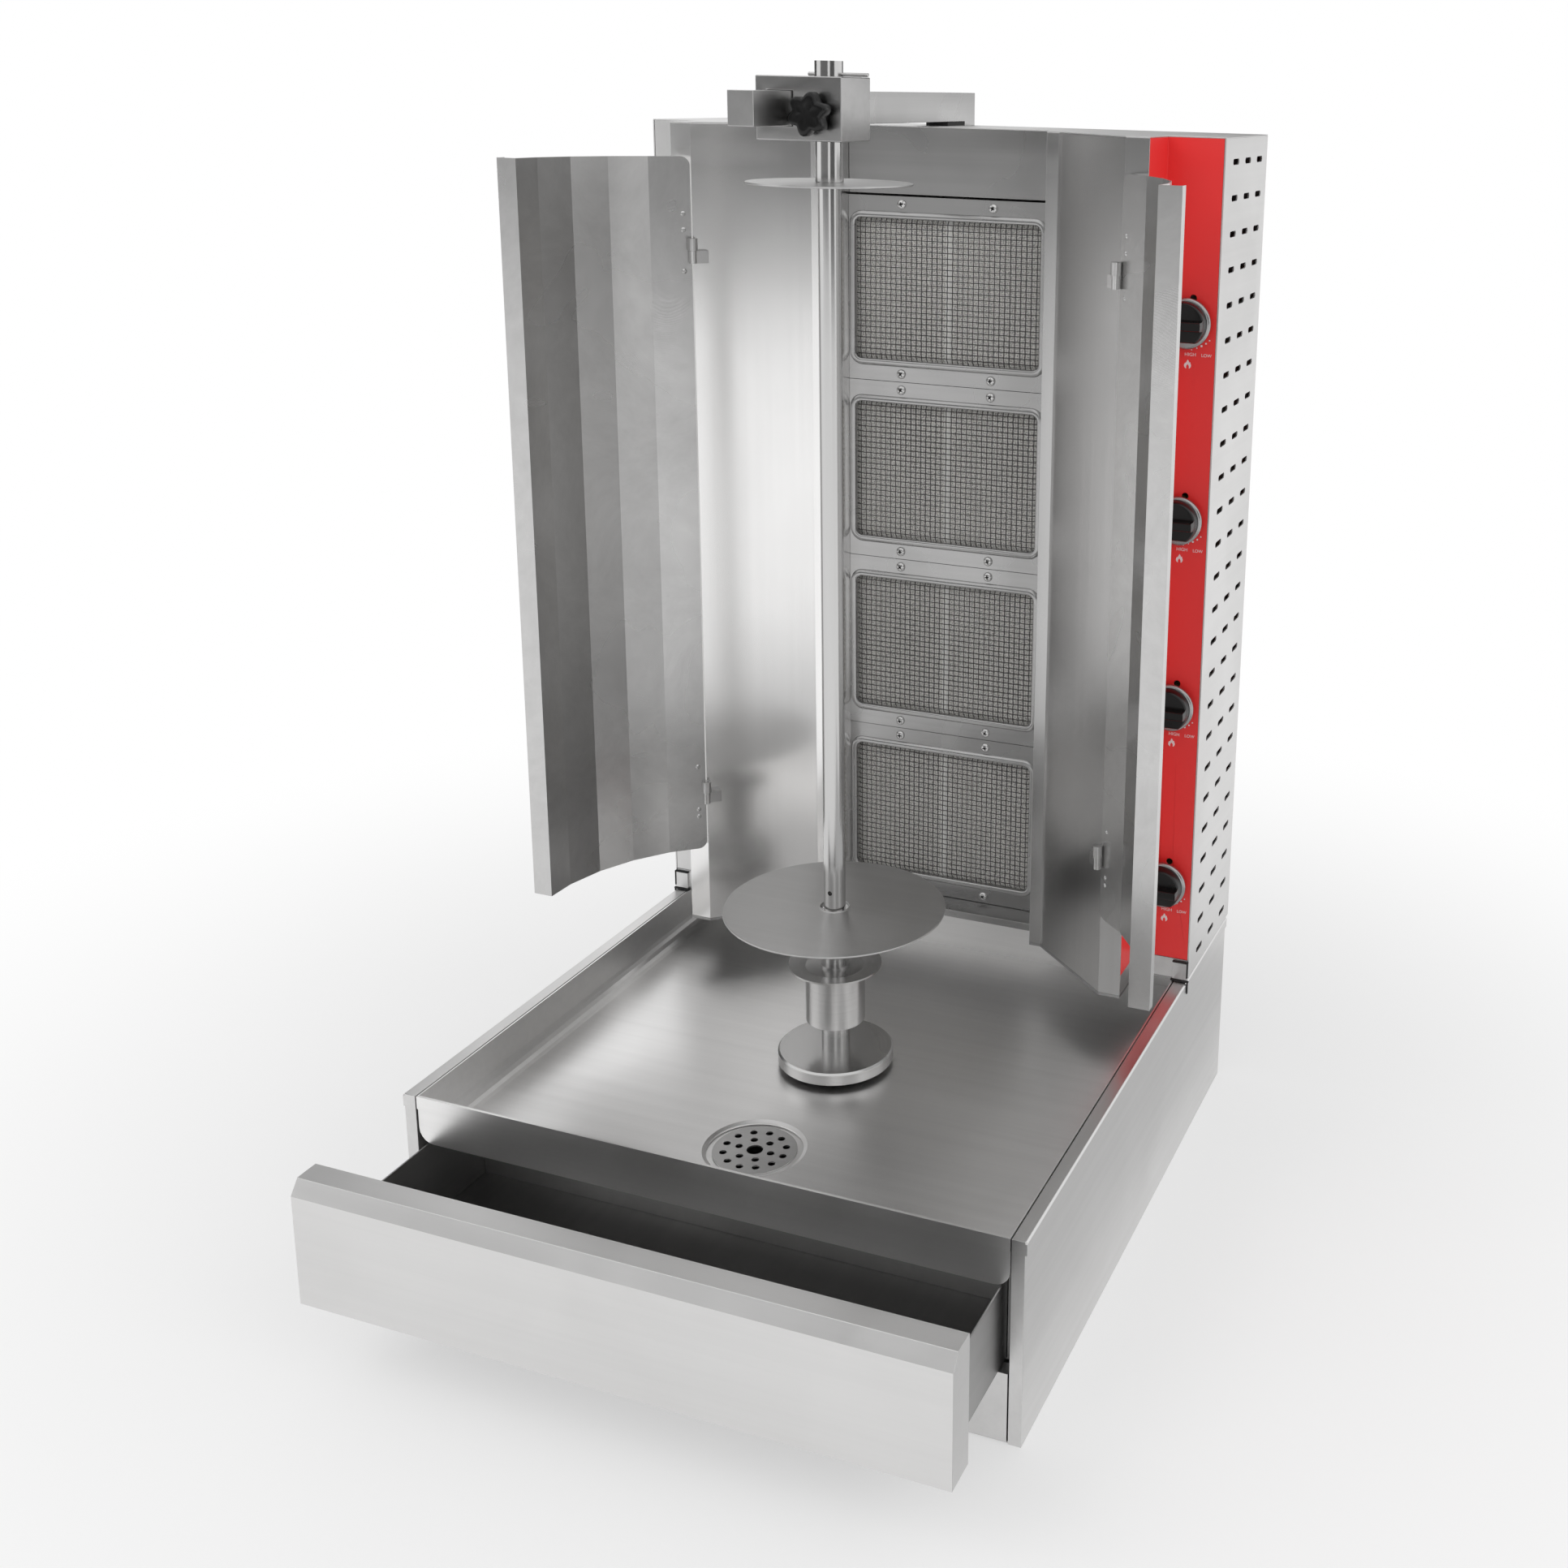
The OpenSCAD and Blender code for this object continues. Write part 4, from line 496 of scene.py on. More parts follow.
# %% Finishes of the CAD nodes
DRESSED = {
    cover_steel: "side_cover_left side_cover_right top_cover left_front_panel",
    side_steel: "base_side_left base_side_right base_front_rail foot_trim",
    front_steel: "drawer_front", pan_steel: "fat_pan", inner_steel: "drawer_box",
    painted_light_bay_steel: "bay_wall_left", painted_shade_bay_steel: "bay_wall_right", bar_steel: "arm_bar",
    frame_steel: "burner_frames header_fascia drip_ledge",
    shield_steel: "shield_left shield_right", disc_steel: "lower_disc upper_disc drain_strainer",
    turned_steel: "drive_shaft drive_cup drip_disc", rod_steel: "spit_rod lock_sleeve",
    block_steel: "clamp_block", hardware_steel: "screws hinge_brackets",
    zinc_steel: "base_bottom base_back tower_back drawer_runners slide_frame tower_floor burner_boxes",
    machined_steel: "shaft_bearing motor_pinion output_gear tap_plug_1 tap_plug_2 tap_plug_3 tap_plug_4",
    red_enamel: "control_panel", black_plastic: "knob_1 knob_2 knob_3 knob_4 star_knob cable_gland",
    rubber: "arm_pad", dark_paint: "gear_motor", aluminium: "gearbox_housing drive_carriage",
    brass: "tap_bodies gas_manifold injector_pipes", ceramic: "burner_plaques",
    gauze_wire: "burner_gauzes",
}
for material, names in DRESSED.items():
    for name in names.split():
        mesh = nodes[name].data
        mesh.materials.clear()
        mesh.materials.append(material)
assert sorted(n for names in DRESSED.values() for n in names.split()) == sorted(nodes)
print("dressed", len(nodes), "nodes")

# %% [markdown]
# ## Soft edges
# A real fold or cut edge is never sharp, so it always catches a line of
# light. The edges could be rounded in the CAD at a great cost in faces, but a
# bevel modifier does it here. The meshes come in with split corners, so a
# weld goes before the bevel, and weighted normals keep the flats flat.

# %% Soft edges of the CAD nodes
SOFT_EDGES = {
    0.35: "drawer_front base_side_left base_side_right base_front_rail foot_trim bay_wall_left "
          "bay_wall_right left_front_panel control_panel top_cover header_fascia drip_ledge",
    0.5: "arm_bar drive_cup lower_disc upper_disc lock_sleeve gearbox_housing gear_motor",
    0.9: "clamp_block",
}
WELD_WITHIN = 0.00002
BEVEL_FROM_ANGLE = math.radians(35)

for width, names in SOFT_EDGES.items():
    for name in names.split():
        weld = nodes[name].modifiers.new("join corners", "WELD")
        weld.merge_threshold = WELD_WITHIN
        bevel = nodes[name].modifiers.new("soft edges", "BEVEL")
        bevel.width = width * MM
        bevel.segments = 2
        bevel.limit_method = "ANGLE"
        bevel.angle_limit = BEVEL_FROM_ANGLE
        nodes[name].modifiers.new("even shading", "WEIGHTED_NORMAL")
print("soft edges on", sum(len(names.split()) for names in SOFT_EDGES.values()), "nodes")

# %% [markdown]
# ## Lofts
# New pieces are lofted: a list of loops of points is skinned one to the next,
# and the ends are closed. A lathe shape, a tube, a knob and a bead are all
# lofts, so one function covers them and keeps every mesh closed. A lathe
# profile that runs to the axis ends in a tiny flat of radius TIP.

# %% Helpers: lofts
TIP = 0.05


def loft(bm, loops, hoop=False):
    """Skins loops of points: with closed ends, or as a hoop back to its first loop."""
    rings = [[bm.verts.new(p) for p in loop] for loop in loops]
    for low, high in zip(rings, rings[1:] + (rings[:1] if hoop else [])):
        for i in range(len(low)):
            j = (i + 1) % len(low)
            bm.faces.new((low[i], low[j], high[j], high[i]))
    if not hoop:
        bm.faces.new(rings[0][::-1])
        bm.faces.new(rings[-1])


def circle(radius, height, place, steps):
    """A loop of points round the local Z, sizes in millimetres."""
    turns = [math.tau * i / steps for i in range(steps)]
    return [place @ Vector((radius * MM * math.cos(a), radius * MM * math.sin(a), height * MM))
            for a in turns]


def outline_at(place, outline, height):
    """A flat outline in millimetres, lifted to a height in a local frame."""
    return [place @ (Vector((x, y, height)) * MM) for x, y in outline]


def lathe(bm, profile, place, steps, hoop=False):
    loft(bm, [circle(r, h, place, steps) for r, h in profile], hoop)


print("helpers ready: loft, circle, outline_at, lathe")

# %% [markdown]
# ## From a mesh to a piece of the grill
# A finished mesh becomes an object, smooth except at its real edges, that
# moves with one body of the grill. It also hides the CAD node that it stands
# for, if any. All new pieces go through this one door, so none is left
# without a finish or a body.

# %% Helper: a piece
def piece(name, bm, material, body, sharp, replaces=()):
    """Turns a mesh in the making into an object that rides on a body."""
    bmesh.ops.recalc_face_normals(bm, faces=bm.faces)
    mesh = bpy.data.meshes.new(name)
    bm.to_mesh(mesh)
    bm.free()
    mesh.materials.append(material)
    for face in mesh.polygons:
        face.use_smooth = True
    mesh.set_sharp_from_angle(angle=math.radians(sharp))
    obj = put_in_scene(name, mesh)
    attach(obj, body)
    if replaces:
        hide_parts(*replaces)
    print("piece:", name, "with", len(mesh.polygons), "faces")


print("helper ready: piece")

# %% [markdown]
# ## Places on the grill
# A screw or a knob is easiest to describe lying flat, with its axis up. It
# could be modelled so and turned by hand. Here a local frame does the turn:
# its own Z points out of the front or the back. The places themselves are
# measured from the CAD nodes.

# %% Helpers: places
def facing_front(x, y, z):
    """A local frame at a point in millimetres whose Z points out to the front and Y up."""
    return Matrix.Translation(Vector((x, y, z)) * MM) @ Matrix(
        ((1, 0, 0, 0), (0, 0, -1, 0), (0, 1, 0, 0), (0, 0, 0, 1)))


def facing_back(x, y, z):
    """A local frame at a point in millimetres whose Z points out to the back."""
    return Matrix.Translation(Vector((x, y, z)) * MM) @ Matrix.Rotation(-math.pi / 2, 4, "X")


def measure(node):
    """Middle, lowest and highest corner of a CAD node in millimetres."""
    low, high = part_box(node)
    return (low + high) / (2 * MM), low / MM, high / MM


print("helpers ready: facing_front, facing_back, measure")

# %% [markdown]
# ## Where the burners are
# Four equal burners stand one above the other. Their places could be typed
# in, but they follow from the box of the CAD node that holds all four frames,
# and from the height of one.

# %% Places of the burners
BURNERS = 4
FRAME_H = 168.4
WINDOW_W, WINDOW_H, WINDOW_CORNER = 180.2, 128.3, 6.0

_, frames_low, frames_high = measure("burner_frames")
pitch = (frames_high.z - frames_low.z - FRAME_H) / (BURNERS - 1)
burner_z = [frames_high.z - FRAME_H / 2 - i * pitch for i in range(BURNERS)]
frame_face = frames_low.y
print("burners at", [round(z, 2) for z in burner_z])

# %% [markdown]
# ## The bead round each window
# Each burner is a pressed frame with a raised bead round its window. A bevel
# on the opening would be too even, so the bead has its own cross section, and
# that is lofted round the window as a closed hoop.

# %% Bead round each window
BEAD = ((0.2, 1.2), (0.2, -1.5), (0.8, -2.3), (2.0, -2.6), (3.8, -2.4), (5.4, -1.4),
        (6.4, -0.02), (6.4, 0.6))
CORNER_STEPS = 6


def window_loop(grow, depth, z):
    """A rounded rectangle round the window at z, larger by grow and moved back by depth."""
    half_w, half_h, r = WINDOW_W / 2 - WINDOW_CORNER, WINDOW_H / 2 - WINDOW_CORNER, WINDOW_CORNER + grow
    loop = []
    for k, (sx, sz) in enumerate(((1, 1), (-1, 1), (-1, -1), (1, -1))):
        for i in range(CORNER_STEPS + 1):
            a = math.pi / 2 * (k + i / CORNER_STEPS)
            loop.append(Vector((sx * half_w + r * math.cos(a), frame_face + depth,
                                z + sz * half_h + r * math.sin(a))) * MM)
    return loop


bm = bmesh.new()
for z in burner_z:
    loft(bm, [window_loop(grow, depth, z) for grow, depth in BEAD], hoop=True)
piece("window_beads", bm, frame_steel, "base", sharp=50)

# %% [markdown]
# ## The wires of the gauze
# Behind each bead a woven gauze glows when the burner is lit. A grid texture
# would look flat from close by, so the weave is real geometry: every wire is
# a thin tube that goes over one crossing and under the next, and dips back
# where it is tucked under the bead.

# %% Helpers: gauze wires
COLUMNS, ROWS = 36, 26
WIRE_R, WIRE_SIDES, WIRE_WAVE = 0.43, 5, 0.45
GAUZE_DEPTH, UNDER_BEAD = 1.9, 1.2
TUCK_DEPTH, TUCK_REACH = 3.2, 7.0

half_w, half_h = WINDOW_W / 2 + UNDER_BEAD, WINDOW_H / 2 + UNDER_BEAD


def stations(half, count):
    """Number and place of each crossing along a wire, and of each middle between two."""
    step = 2 * half / count
    return [(k, -half + k * step / 2) for k in range(2 * count + 1)]


def gauze_y(x, z, wave):
    """Depth of a wire at a point of the net, deeper near the edge of the window."""
    edge = min(half_w - abs(x), half_h - abs(z))
    tuck = TUCK_DEPTH * max(0.0, 1 - edge / TUCK_REACH) ** 2
    return frame_face + GAUZE_DEPTH + tuck + WIRE_WAVE * wave


def wire(bm, points, across):
    """A thin tube along points in millimetres, where across is square to its run."""
    turns = [math.tau * k / WIRE_SIDES for k in range(WIRE_SIDES)]
    section = [WIRE_R * (math.cos(a) * across + math.sin(a) * Vector((0, 1, 0))) for a in turns]
    loft(bm, [[(p + around) * MM for around in section] for p in points])


print("wires: %d upright and %d across in each net" % (COLUMNS - 1, ROWS - 1))

# %% [markdown]
# ## The woven nets
# The four gauzes are alike. Weaving each would take four times as long, so
# one net is woven about the middle of a window, and copied to each height.

# %% Woven gauze
def weave_net():
    """One net about the middle of a window, as a mesh."""
    bm = bmesh.new()
    for i, x in stations(half_w, COLUMNS)[2:-2:2]:
        wire(bm, [Vector((x, gauze_y(x, z, math.cos(math.pi * (i + k) / 2)), z))
                  for k, z in stations(half_h, ROWS)], Vector((1, 0, 0)))
    for j, z in stations(half_h, ROWS)[2:-2:2]:
        wire(bm, [Vector((x, gauze_y(x, z, -math.cos(math.pi * (j + k) / 2)), z))
                  for k, x in stations(half_w, COLUMNS)], Vector((0, 0, 1)))
    net = bpy.data.meshes.new("gauze_net")
    bm.to_mesh(net)
    bm.free()
    return net


net = weave_net()
bm = bmesh.new()
for z in burner_z:
    before = len(bm.verts)
    bm.from_mesh(net)
    bm.verts.ensure_lookup_table()
    bmesh.ops.translate(bm, vec=(0, 0, z * MM), verts=bm.verts[before:])
bpy.data.meshes.remove(net)
piece("woven_gauzes", bm, gauze_wire, "base", sharp=60, replaces=("burner_gauzes",))

# %% [markdown]
# ## The joint between two plaques
# Two plaques stand side by side behind each window, and the cement between
# them shows as a pale upright line through the gauze. A line in the ceramic's
# colour would do from afar, but a thin rounded strip also catches the light,
# and it stays just proud of the plaques.

# %% Cement joints
JOINT_OUTLINE = ((-3.4, 0.4), (-2.9, -0.7), (-1.0, -1.6), (1.0, -1.6), (2.9, -0.7), (3.4, 0.4))
JOINT_HALF_H = 65

_, plaque_low, _ = measure("burner_plaques")
bm = bmesh.new()
for z in burner_z:
    loft(bm, [[Vector((x, plaque_low.y + depth, z + up)) * MM for x, depth in JOINT_OUTLINE]
              for up in (-JOINT_HALF_H, 0, JOINT_HALF_H)])
piece("cement_joints", bm, cement, "base", sharp=60)

# %% [markdown]
# ## Screws
# The burner frames are held by domed screws with a cross recess. The recess
# could be cut into each dome, but two crossed black slots sunk in its crown
# look the same by painting the shade of the recess, and keep the mesh plain.
# The two screws in the back of the arm's leg have hexagon heads.

# %% Dome screws and hexagon screws
SCREW_X, SCREW_Z = 44.3, 77.0
SCREW_TURNS = (0.3, 1.1, 0.7, 0.1)
DOME_HEAD = ((4.4, 0.0), (4.4, 0.5), (4.1, 1.2), (3.3, 2.0), (2.1, 2.5), (1.2, 2.62),
             (0.9, 1.4), (TIP, 1.3))
SLOT_HALF_W = 0.42
SLOT_LEVELS = ((1.4, 1.6), (2.2, 2.5), (1.9, 2.68))
HEX_H = 3.5
HEX_HEAD = ((5.0, 0.0), (5.0, 3.0), (4.5, HEX_H), (TIP, HEX_H))
LEG_SCREW_Z, LEG_SCREW_STEP = 60, 25


def slot_outline(reach):
    return ((-reach, -SLOT_HALF_W), (reach, -SLOT_HALF_W), (reach, SLOT_HALF_W), (-reach, SLOT_HALF_W))


heads, painted_recess_shade = bmesh.new(), bmesh.new()
for i, z in enumerate(burner_z):
    for k, (sx, sz) in enumerate(((-1, 1), (1, 1), (-1, -1), (1, -1))):
        at = facing_front(sx * SCREW_X, frame_face, z + sz * SCREW_Z)
        lathe(heads, DOME_HEAD, at, steps=28)
        for quarter in (0, math.pi / 2):
            turn = SCREW_TURNS[(i + k) % len(SCREW_TURNS)] + quarter
            at_slot = at @ Matrix.Rotation(turn, 4, "Z")
            loft(painted_recess_shade, [outline_at(at_slot, slot_outline(reach), h) for reach, h in SLOT_LEVELS])
_, _, screws_high = measure("screws")
leg_mid, leg_low, _ = measure("arm_bar")
for step in (-LEG_SCREW_STEP, LEG_SCREW_STEP):
    at = facing_back(leg_mid.x, screws_high.y - HEX_H, leg_low.z + LEG_SCREW_Z + step)
    lathe(heads, HEX_HEAD, at, steps=6)
piece("dome_screws", heads, hardware_steel, "base", sharp=50, replaces=("screws",))
# The slots are black: painted shade of the cross recess, not a dark part of the screw.
piece("screw_recess_shade", painted_recess_shade, rubber, "base", sharp=30)

# %% [markdown]
# ## Shape of a control knob
# A knob is a satin skirt disc, a black barrel and a grip that stands up
# across it. Above the grip the barrel is round, and below it a flat face is
# cut for the thumb. The CAD has the plain forms; here each is lofted from its
# own outline, so that its edges are round. The barrel starts inside its own
# bore, because the knob slides over the stem of the tap when it is pushed.

# %% Outlines of a knob
KNOB_STEPS = 64
BORE_R, BORE_TOP, SKIRT_TOP = 4.6, 13.0, 4.0
BORE = ((BORE_R * 0.9, BORE_TOP + 0.3), (BORE_R, BORE_TOP), (BORE_R, SKIRT_TOP))
SKIRT = ((BORE_R, 0.2), (21.3, 0.0), (21.5, 0.4), (21.5, 2.4), (20.9, 3.4), (19.6, SKIRT_TOP),
         (BORE_R, SKIRT_TOP))
BARREL_R, FLAT_AT = 19.2, 15.0
BARREL = ((BARREL_R, 3.9), (19.0, 13.0), (18.7, 14.2), (17.9, 15.1), (15.5, 15.5))
GRIP_R, GRIP_END_STEPS, GRIP_EASE = 18.8, 8, 0.5
GRIP = ((5.0, 13.7), (4.7, 15.4), (3.9, 18.0))
GRIP_CROWN = ((3.6, 0.9), (3.1, 0.2), (2.4, 0.0))


def barrel_outline(radius):
    """A circle whose lower part is cut by a chord."""
    flat_at = FLAT_AT * radius / BARREL_R
    turns = [math.tau * i / KNOB_STEPS for i in range(KNOB_STEPS)]
    return [(radius * math.cos(a), max(radius * math.sin(a), -flat_at)) for a in turns]


def grip_outline(half, ease):
    """A bar across the knob with round ends, drawn in a little by ease."""
    straight = math.sqrt(GRIP_R ** 2 - half ** 2)
    outline = []
    for sx in (1, -1):
        for k in range(GRIP_END_STEPS + 1):
            y = sx * half * (2 * k / GRIP_END_STEPS - 1)
            bulge = math.sqrt(GRIP_R ** 2 - y * y) - straight
            outline.append((sx * (straight - ease + bulge), y))
    return outline


print("knob outlines ready")

# %% [markdown]
# ## Control knobs
# Each knob is two pieces, because the skirt is satin grey and the rest is
# black. They are made in a loop from the CAD knob that they replace, and ride
# on the same dial, so that they push in with it.

# %% Knobs
for i in range(1, 5):
    mid, low, high = measure("knob_%d" % i)
    at = facing_front(mid.x, high.y, mid.z)
    depth = high.y - low.y
    body = "dial_%d" % i
    bm = bmesh.new()
    lathe(bm, SKIRT, at, steps=72, hoop=True)
    piece("knob_skirt_%d" % i, bm, skirt_plastic, body, sharp=40)
    bm = bmesh.new()
    loft(bm, [circle(r, h, at, KNOB_STEPS) for r, h in BORE]
         + [outline_at(at, barrel_outline(r), h) for r, h in BARREL])
    loft(bm, [outline_at(at, grip_outline(half, 0.0), h) for half, h in GRIP]
         + [outline_at(at, grip_outline(half, GRIP_EASE), depth - down) for half, down in GRIP_CROWN])
    piece("knob_body_%d" % i, bm, black_plastic, body, sharp=32,
          replaces=("knob_%d" % i,))

# %% [markdown]
# ## Marks on the panel
# White print shows the flame setting: a row of dots, the words HIGH and LOW
# and a small flame. Print is often an image, but text objects and outlines
# become thin meshes that stay sharp at any size. They stand about a tenth of
# a millimetre proud of the enamel.

# %% Dial marks
PANEL_SHEET = 1.2
PRINT_H, DOT_CROWN = 0.1, 0.02
DOTS = ((4.2, -22.6, 0.5), (8.6, -20.7, 0.65), (12.6, -18.8, 0.9), (16.4, -16.5, 0.75), (19.4, -13.8, 0.6))
WORDS = (("HIGH", 3.2, -26.6, 9.5), ("LOW", 17.2, -26.8, 8.7))
FLAME_X, FLAME_Z = 1.2, -34.6
FLAME = ((0, 3.8), (0.9, 2.4), (1.5, 1.2), (2.2, 1.7), (2.6, 0.2), (3.1, -1.0), (2.9, -2.4), (1.9, -3.6),
         (1.1, -3.8), (1.3, -2.6), (0.9, -1.2), (0, -0.2), (-0.9, -1.2), (-1.3, -2.6), (-1.1, -3.8),
         (-1.9, -3.6), (-2.9, -2.4), (-3.1, -1.0), (-2.4, 0.6), (-1.3, 1.2), (-0.7, 2.4))
WORD_SUNK, WORD_EXTRUDE, WORD_STRETCH = 0.06, 0.02, 2.0

panel_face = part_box("control_panel")[1].y / MM - PANEL_SHEET


def print_word(bm, word, x, z, width):
    """Adds a word of a given width in millimetres, centred on a point of the panel."""
    curve = bpy.data.curves.new(word, "FONT")
    curve.body = word
    curve.align_x = "CENTER"
    curve.align_y = "CENTER"
    curve.extrude = WORD_EXTRUDE
    holder = put_in_scene(word, curve)
    bpy.context.view_layer.update()
    scale = width / holder.dimensions.x
    mesh = bpy.data.meshes.new_from_object(holder.evaluated_get(bpy.context.evaluated_depsgraph_get()))
    bpy.data.objects.remove(holder)
    at = facing_front(x, panel_face - WORD_SUNK, z)
    mesh.transform(at @ Matrix.Diagonal((scale * MM, scale * MM, WORD_STRETCH * MM, 1)))
    bm.from_mesh(mesh)
    bpy.data.meshes.remove(mesh)


bm = bmesh.new()
for i in range(1, 5):
    mid, _, _ = measure("knob_%d" % i)
    for dx, dz, r in DOTS:
        at = facing_front(mid.x + dx, panel_face, mid.z + dz)
        lathe(bm, ((r, 0.0), (r, PRINT_H), (TIP, PRINT_H + DOT_CROWN)), at, steps=20)
    at = facing_front(mid.x + FLAME_X, panel_face, mid.z + FLAME_Z)
    loft(bm, [outline_at(at, FLAME, h) for h in (0.0, PRINT_H)])
    for word, dx, dz, width in WORDS:
        print_word(bm, word, mid.x + dx, mid.z + dz, width)
piece("dial_marks", bm, white_print, "base", sharp=30)

# %% [markdown]
# ## Star knob
# The clamp is locked with a black six-lobed knob. Six cylinders joined to a
# disc would leave creases, so its outline is one wavy circle, lofted with
# smaller loops at both faces for a round rim. A steel collar and its stud sit
# behind it.

# %% Star knob and its collar
STAR_H, LOBES, STAR_TURN = 12.0, 6, math.radians(17)
STAR_STEPS, WAIST_SHARE, LOBE_POWER = 120, 0.735, 0.8
STAR_LEVELS = ((0.86, 0.0), (0.95, 0.5), (1.0, 2.0), (1.0, 9.2), (0.97, 10.8), (0.88, 11.8),
               (0.72, STAR_H), (0.5, 11.6), (0.3, 11.3))
COLLAR_H = 4.2
COLLAR = ((7.2, 0.0), (7.5, 0.3), (7.5, 3.6), (6.6, COLLAR_H), (TIP, COLLAR_H))
STUD_R, STUD_TOP, STUD_SHORT = 4.0, 0.5, 0.2

mid, low, high = measure("star_knob")
star_r = (high.x - low.x) / 2
stud_length = high.y - low.y - STAR_H - COLLAR_H - STUD_SHORT
star_at = facing_front(mid.x, low.y + STAR_H, mid.z)
collar_at = Matrix.Translation(Vector((0, COLLAR_H * MM, 0))) @ star_at


def star_outline(share):
    """A wavy circle with six lobes, at a share of its full size."""
    outline = []
    for i in range(STAR_STEPS):
        a = math.tau * i / STAR_STEPS
        wave = 0.5 + 0.5 * math.cos(LOBES * (a - STAR_TURN))
        r = star_r * (WAIST_SHARE + (1 - WAIST_SHARE) * wave ** LOBE_POWER) * share
        outline.append((r * math.cos(a), r * math.sin(a)))
    return outline


bm = bmesh.new()
loft(bm, [outline_at(star_at, star_outline(share), h) for share, h in STAR_LEVELS])
piece("star_grip", bm, black_plastic, "star", sharp=45, replaces=("star_knob",))
bm = bmesh.new()
lathe(bm, COLLAR, collar_at, steps=40)
lathe(bm, ((STUD_R, -stud_length), (STUD_R, STUD_TOP), (TIP, STUD_TOP)), collar_at, steps=32)
piece("star_collar", bm, hardware_steel, "star", sharp=40)

# %% [markdown]
# ## Black seals at the tower's feet
# Where a front panel meets the rim of the base, a small folded clip sits over
# a black seal that shows as a thin line above, beside and below it. A dark
# line in the steel's colour would have no thickness, so the seal is four
# short strips with rounded edges on each side.

# %% Seals
CLIP_BACK = 51.6
SEAL_ROUND_SHARE = 0.3
# Each strip: distance from the grill's middle, depth from the clip's face, height.
STRIPS = (((252.2, 266.9), (-2.6, -0.2), (190.2, 191.6)),
          ((265.7, 267.0), (-2.7, -0.4), (176.0, 191.6)),
          ((251.0, 268.1), (-2.9, -0.3), (171.7, 173.6)),
          ((266.5, 267.6), (-2.9, -0.6), (161.0, 173.0)))


def strip(bm, low, high):
    """A small box between two corners in millimetres, with rounded edges."""
    corners = bmesh.ops.create_cube(bm, size=1.0)["verts"]
    for v in corners:
        v.co = Vector((low[k] if v.co[k] < 0 else high[k] for k in range(3))) * MM
    edges = list(dict.fromkeys(e for v in corners for e in v.link_edges))
    thinnest = min(high[k] - low[k] for k in range(3))
    bmesh.ops.bevel(bm, geom=edges, offset=thinnest * SEAL_ROUND_SHARE * MM, segments=2,
                    affect="EDGES", profile=0.5)


_, trim_low, _ = measure("foot_trim")
clip_face = trim_low.y + CLIP_BACK
bm = bmesh.new()
for s in (-1, 1):
    for across, depth, height in STRIPS:
        x0, x1 = sorted(s * x for x in across)
        strip(bm, (x0, clip_face + depth[0], height[0]), (x1, clip_face + depth[1], height[1]))
piece("foot_seals", bm, rubber, "base", sharp=40)

# %% [markdown]
# ## Thread of the gas inlet
# The back of the grill has a half-inch pipe end. The CAD keeps it as a plain
# pin, and here it gets its thread. A helix would be truer, but rings of the
# same pitch look alike at this size and keep the mesh a plain lathe shape.
# The crests stand 0.3 mm proud of the pin.

# %% Inlet thread
INLET_X, INLET_Z = 208, 235.8
ROOT_R, CREST_R = 10.3, 10.75
THREAD_L, THREAD_START, THREAD_PITCH, CRESTS = 20, 1.0, 1.81, 10
CREST = ((ROOT_R, 0.0), (CREST_R, 0.6), (CREST_R, 0.8), (ROOT_R, 1.4))
CHAMFER, MOUTH_OUTER_R, MOUTH_R = 0.6, 9.4, 7.5

_, _, pipe_high = measure("gas_manifold")
profile = [(ROOT_R, CHAMFER)]
for k in range(CRESTS):
    profile += [(r, THREAD_START + THREAD_PITCH * k + along) for r, along in CREST]
profile += [(ROOT_R, THREAD_L - CHAMFER), (MOUTH_OUTER_R, THREAD_L), (MOUTH_R, THREAD_L)]
bm = bmesh.new()
lathe(bm, profile, facing_back(INLET_X, pipe_high.y - THREAD_L, INLET_Z), steps=40)
piece("inlet_thread", bm, brass, "base", sharp=25)

# %% [markdown]
# ## Screws of the back panels
# Both back panels are held by small pan-head screws along their rims, as
# sheet-metal covers are. They could be drawn in the steel's bump, but the
# back is looked at too, so each is a low dome with a small well in it.

# %% Back panel screws
PAN_HEAD = ((3.4, -0.05), (3.4, 0.5), (2.9, 1.3), (1.8, 1.8), (1.0, 1.85), (0.8, 1.1), (TIP, 1.1))
TOWER_X, TOWER_HEIGHTS = 258, (200, 380, 560, 740, 905)
TOP_Z, TOP_PLACES = 917, (-160, 0, 160)
BASE_X, BASE_HEIGHTS = 255, (18, 85, 150)

back_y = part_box("tower_back")[1].y / MM
places = [(s * TOWER_X, z) for s in (-1, 1) for z in TOWER_HEIGHTS]
places += [(x, TOP_Z) for x in TOP_PLACES]
places += [(s * BASE_X, z) for s in (-1, 1) for z in BASE_HEIGHTS]
bm = bmesh.new()
for x, z in places:
    lathe(bm, PAN_HEAD, facing_back(x, back_y, z), steps=20)
piece("panel_screws", bm, hardware_steel, "base", sharp=50)

# %% [markdown]
# ## The world
# The photograph has a white ground and broad soft light. A world of full
# strength would wash the steel out, so the white is for the camera and for
# reflections only, and the light that falls on the grill is weaker.

# %% World
AMBIENT = 0.62
WHITE = (1, 1, 1, 1)


def either(tree, first, second):
    """One where either of two masks is one."""
    return add(tree, "Math", settings={"operation": "MAXIMUM"}, _0=first, _1=second)


world = bpy.data.worlds.new("studio")
bpy.context.scene.world = world
world.use_nodes = True
tree = world.node_tree
tree.nodes.clear()
path = tree.nodes.new("ShaderNodeLightPath").outputs
seen = either(tree, either(tree, path["Is Camera Ray"], path["Is Glossy Ray"]), path["Is Transmission Ray"])
level = add(tree, "MapRange", Value=seen, To_Min=AMBIENT, To_Max=1.0)
show(tree, add(tree, "Background", Color=WHITE, Strength=level), "World")
print("world: %.2f for the grill, 1.00 for the camera" % AMBIENT)

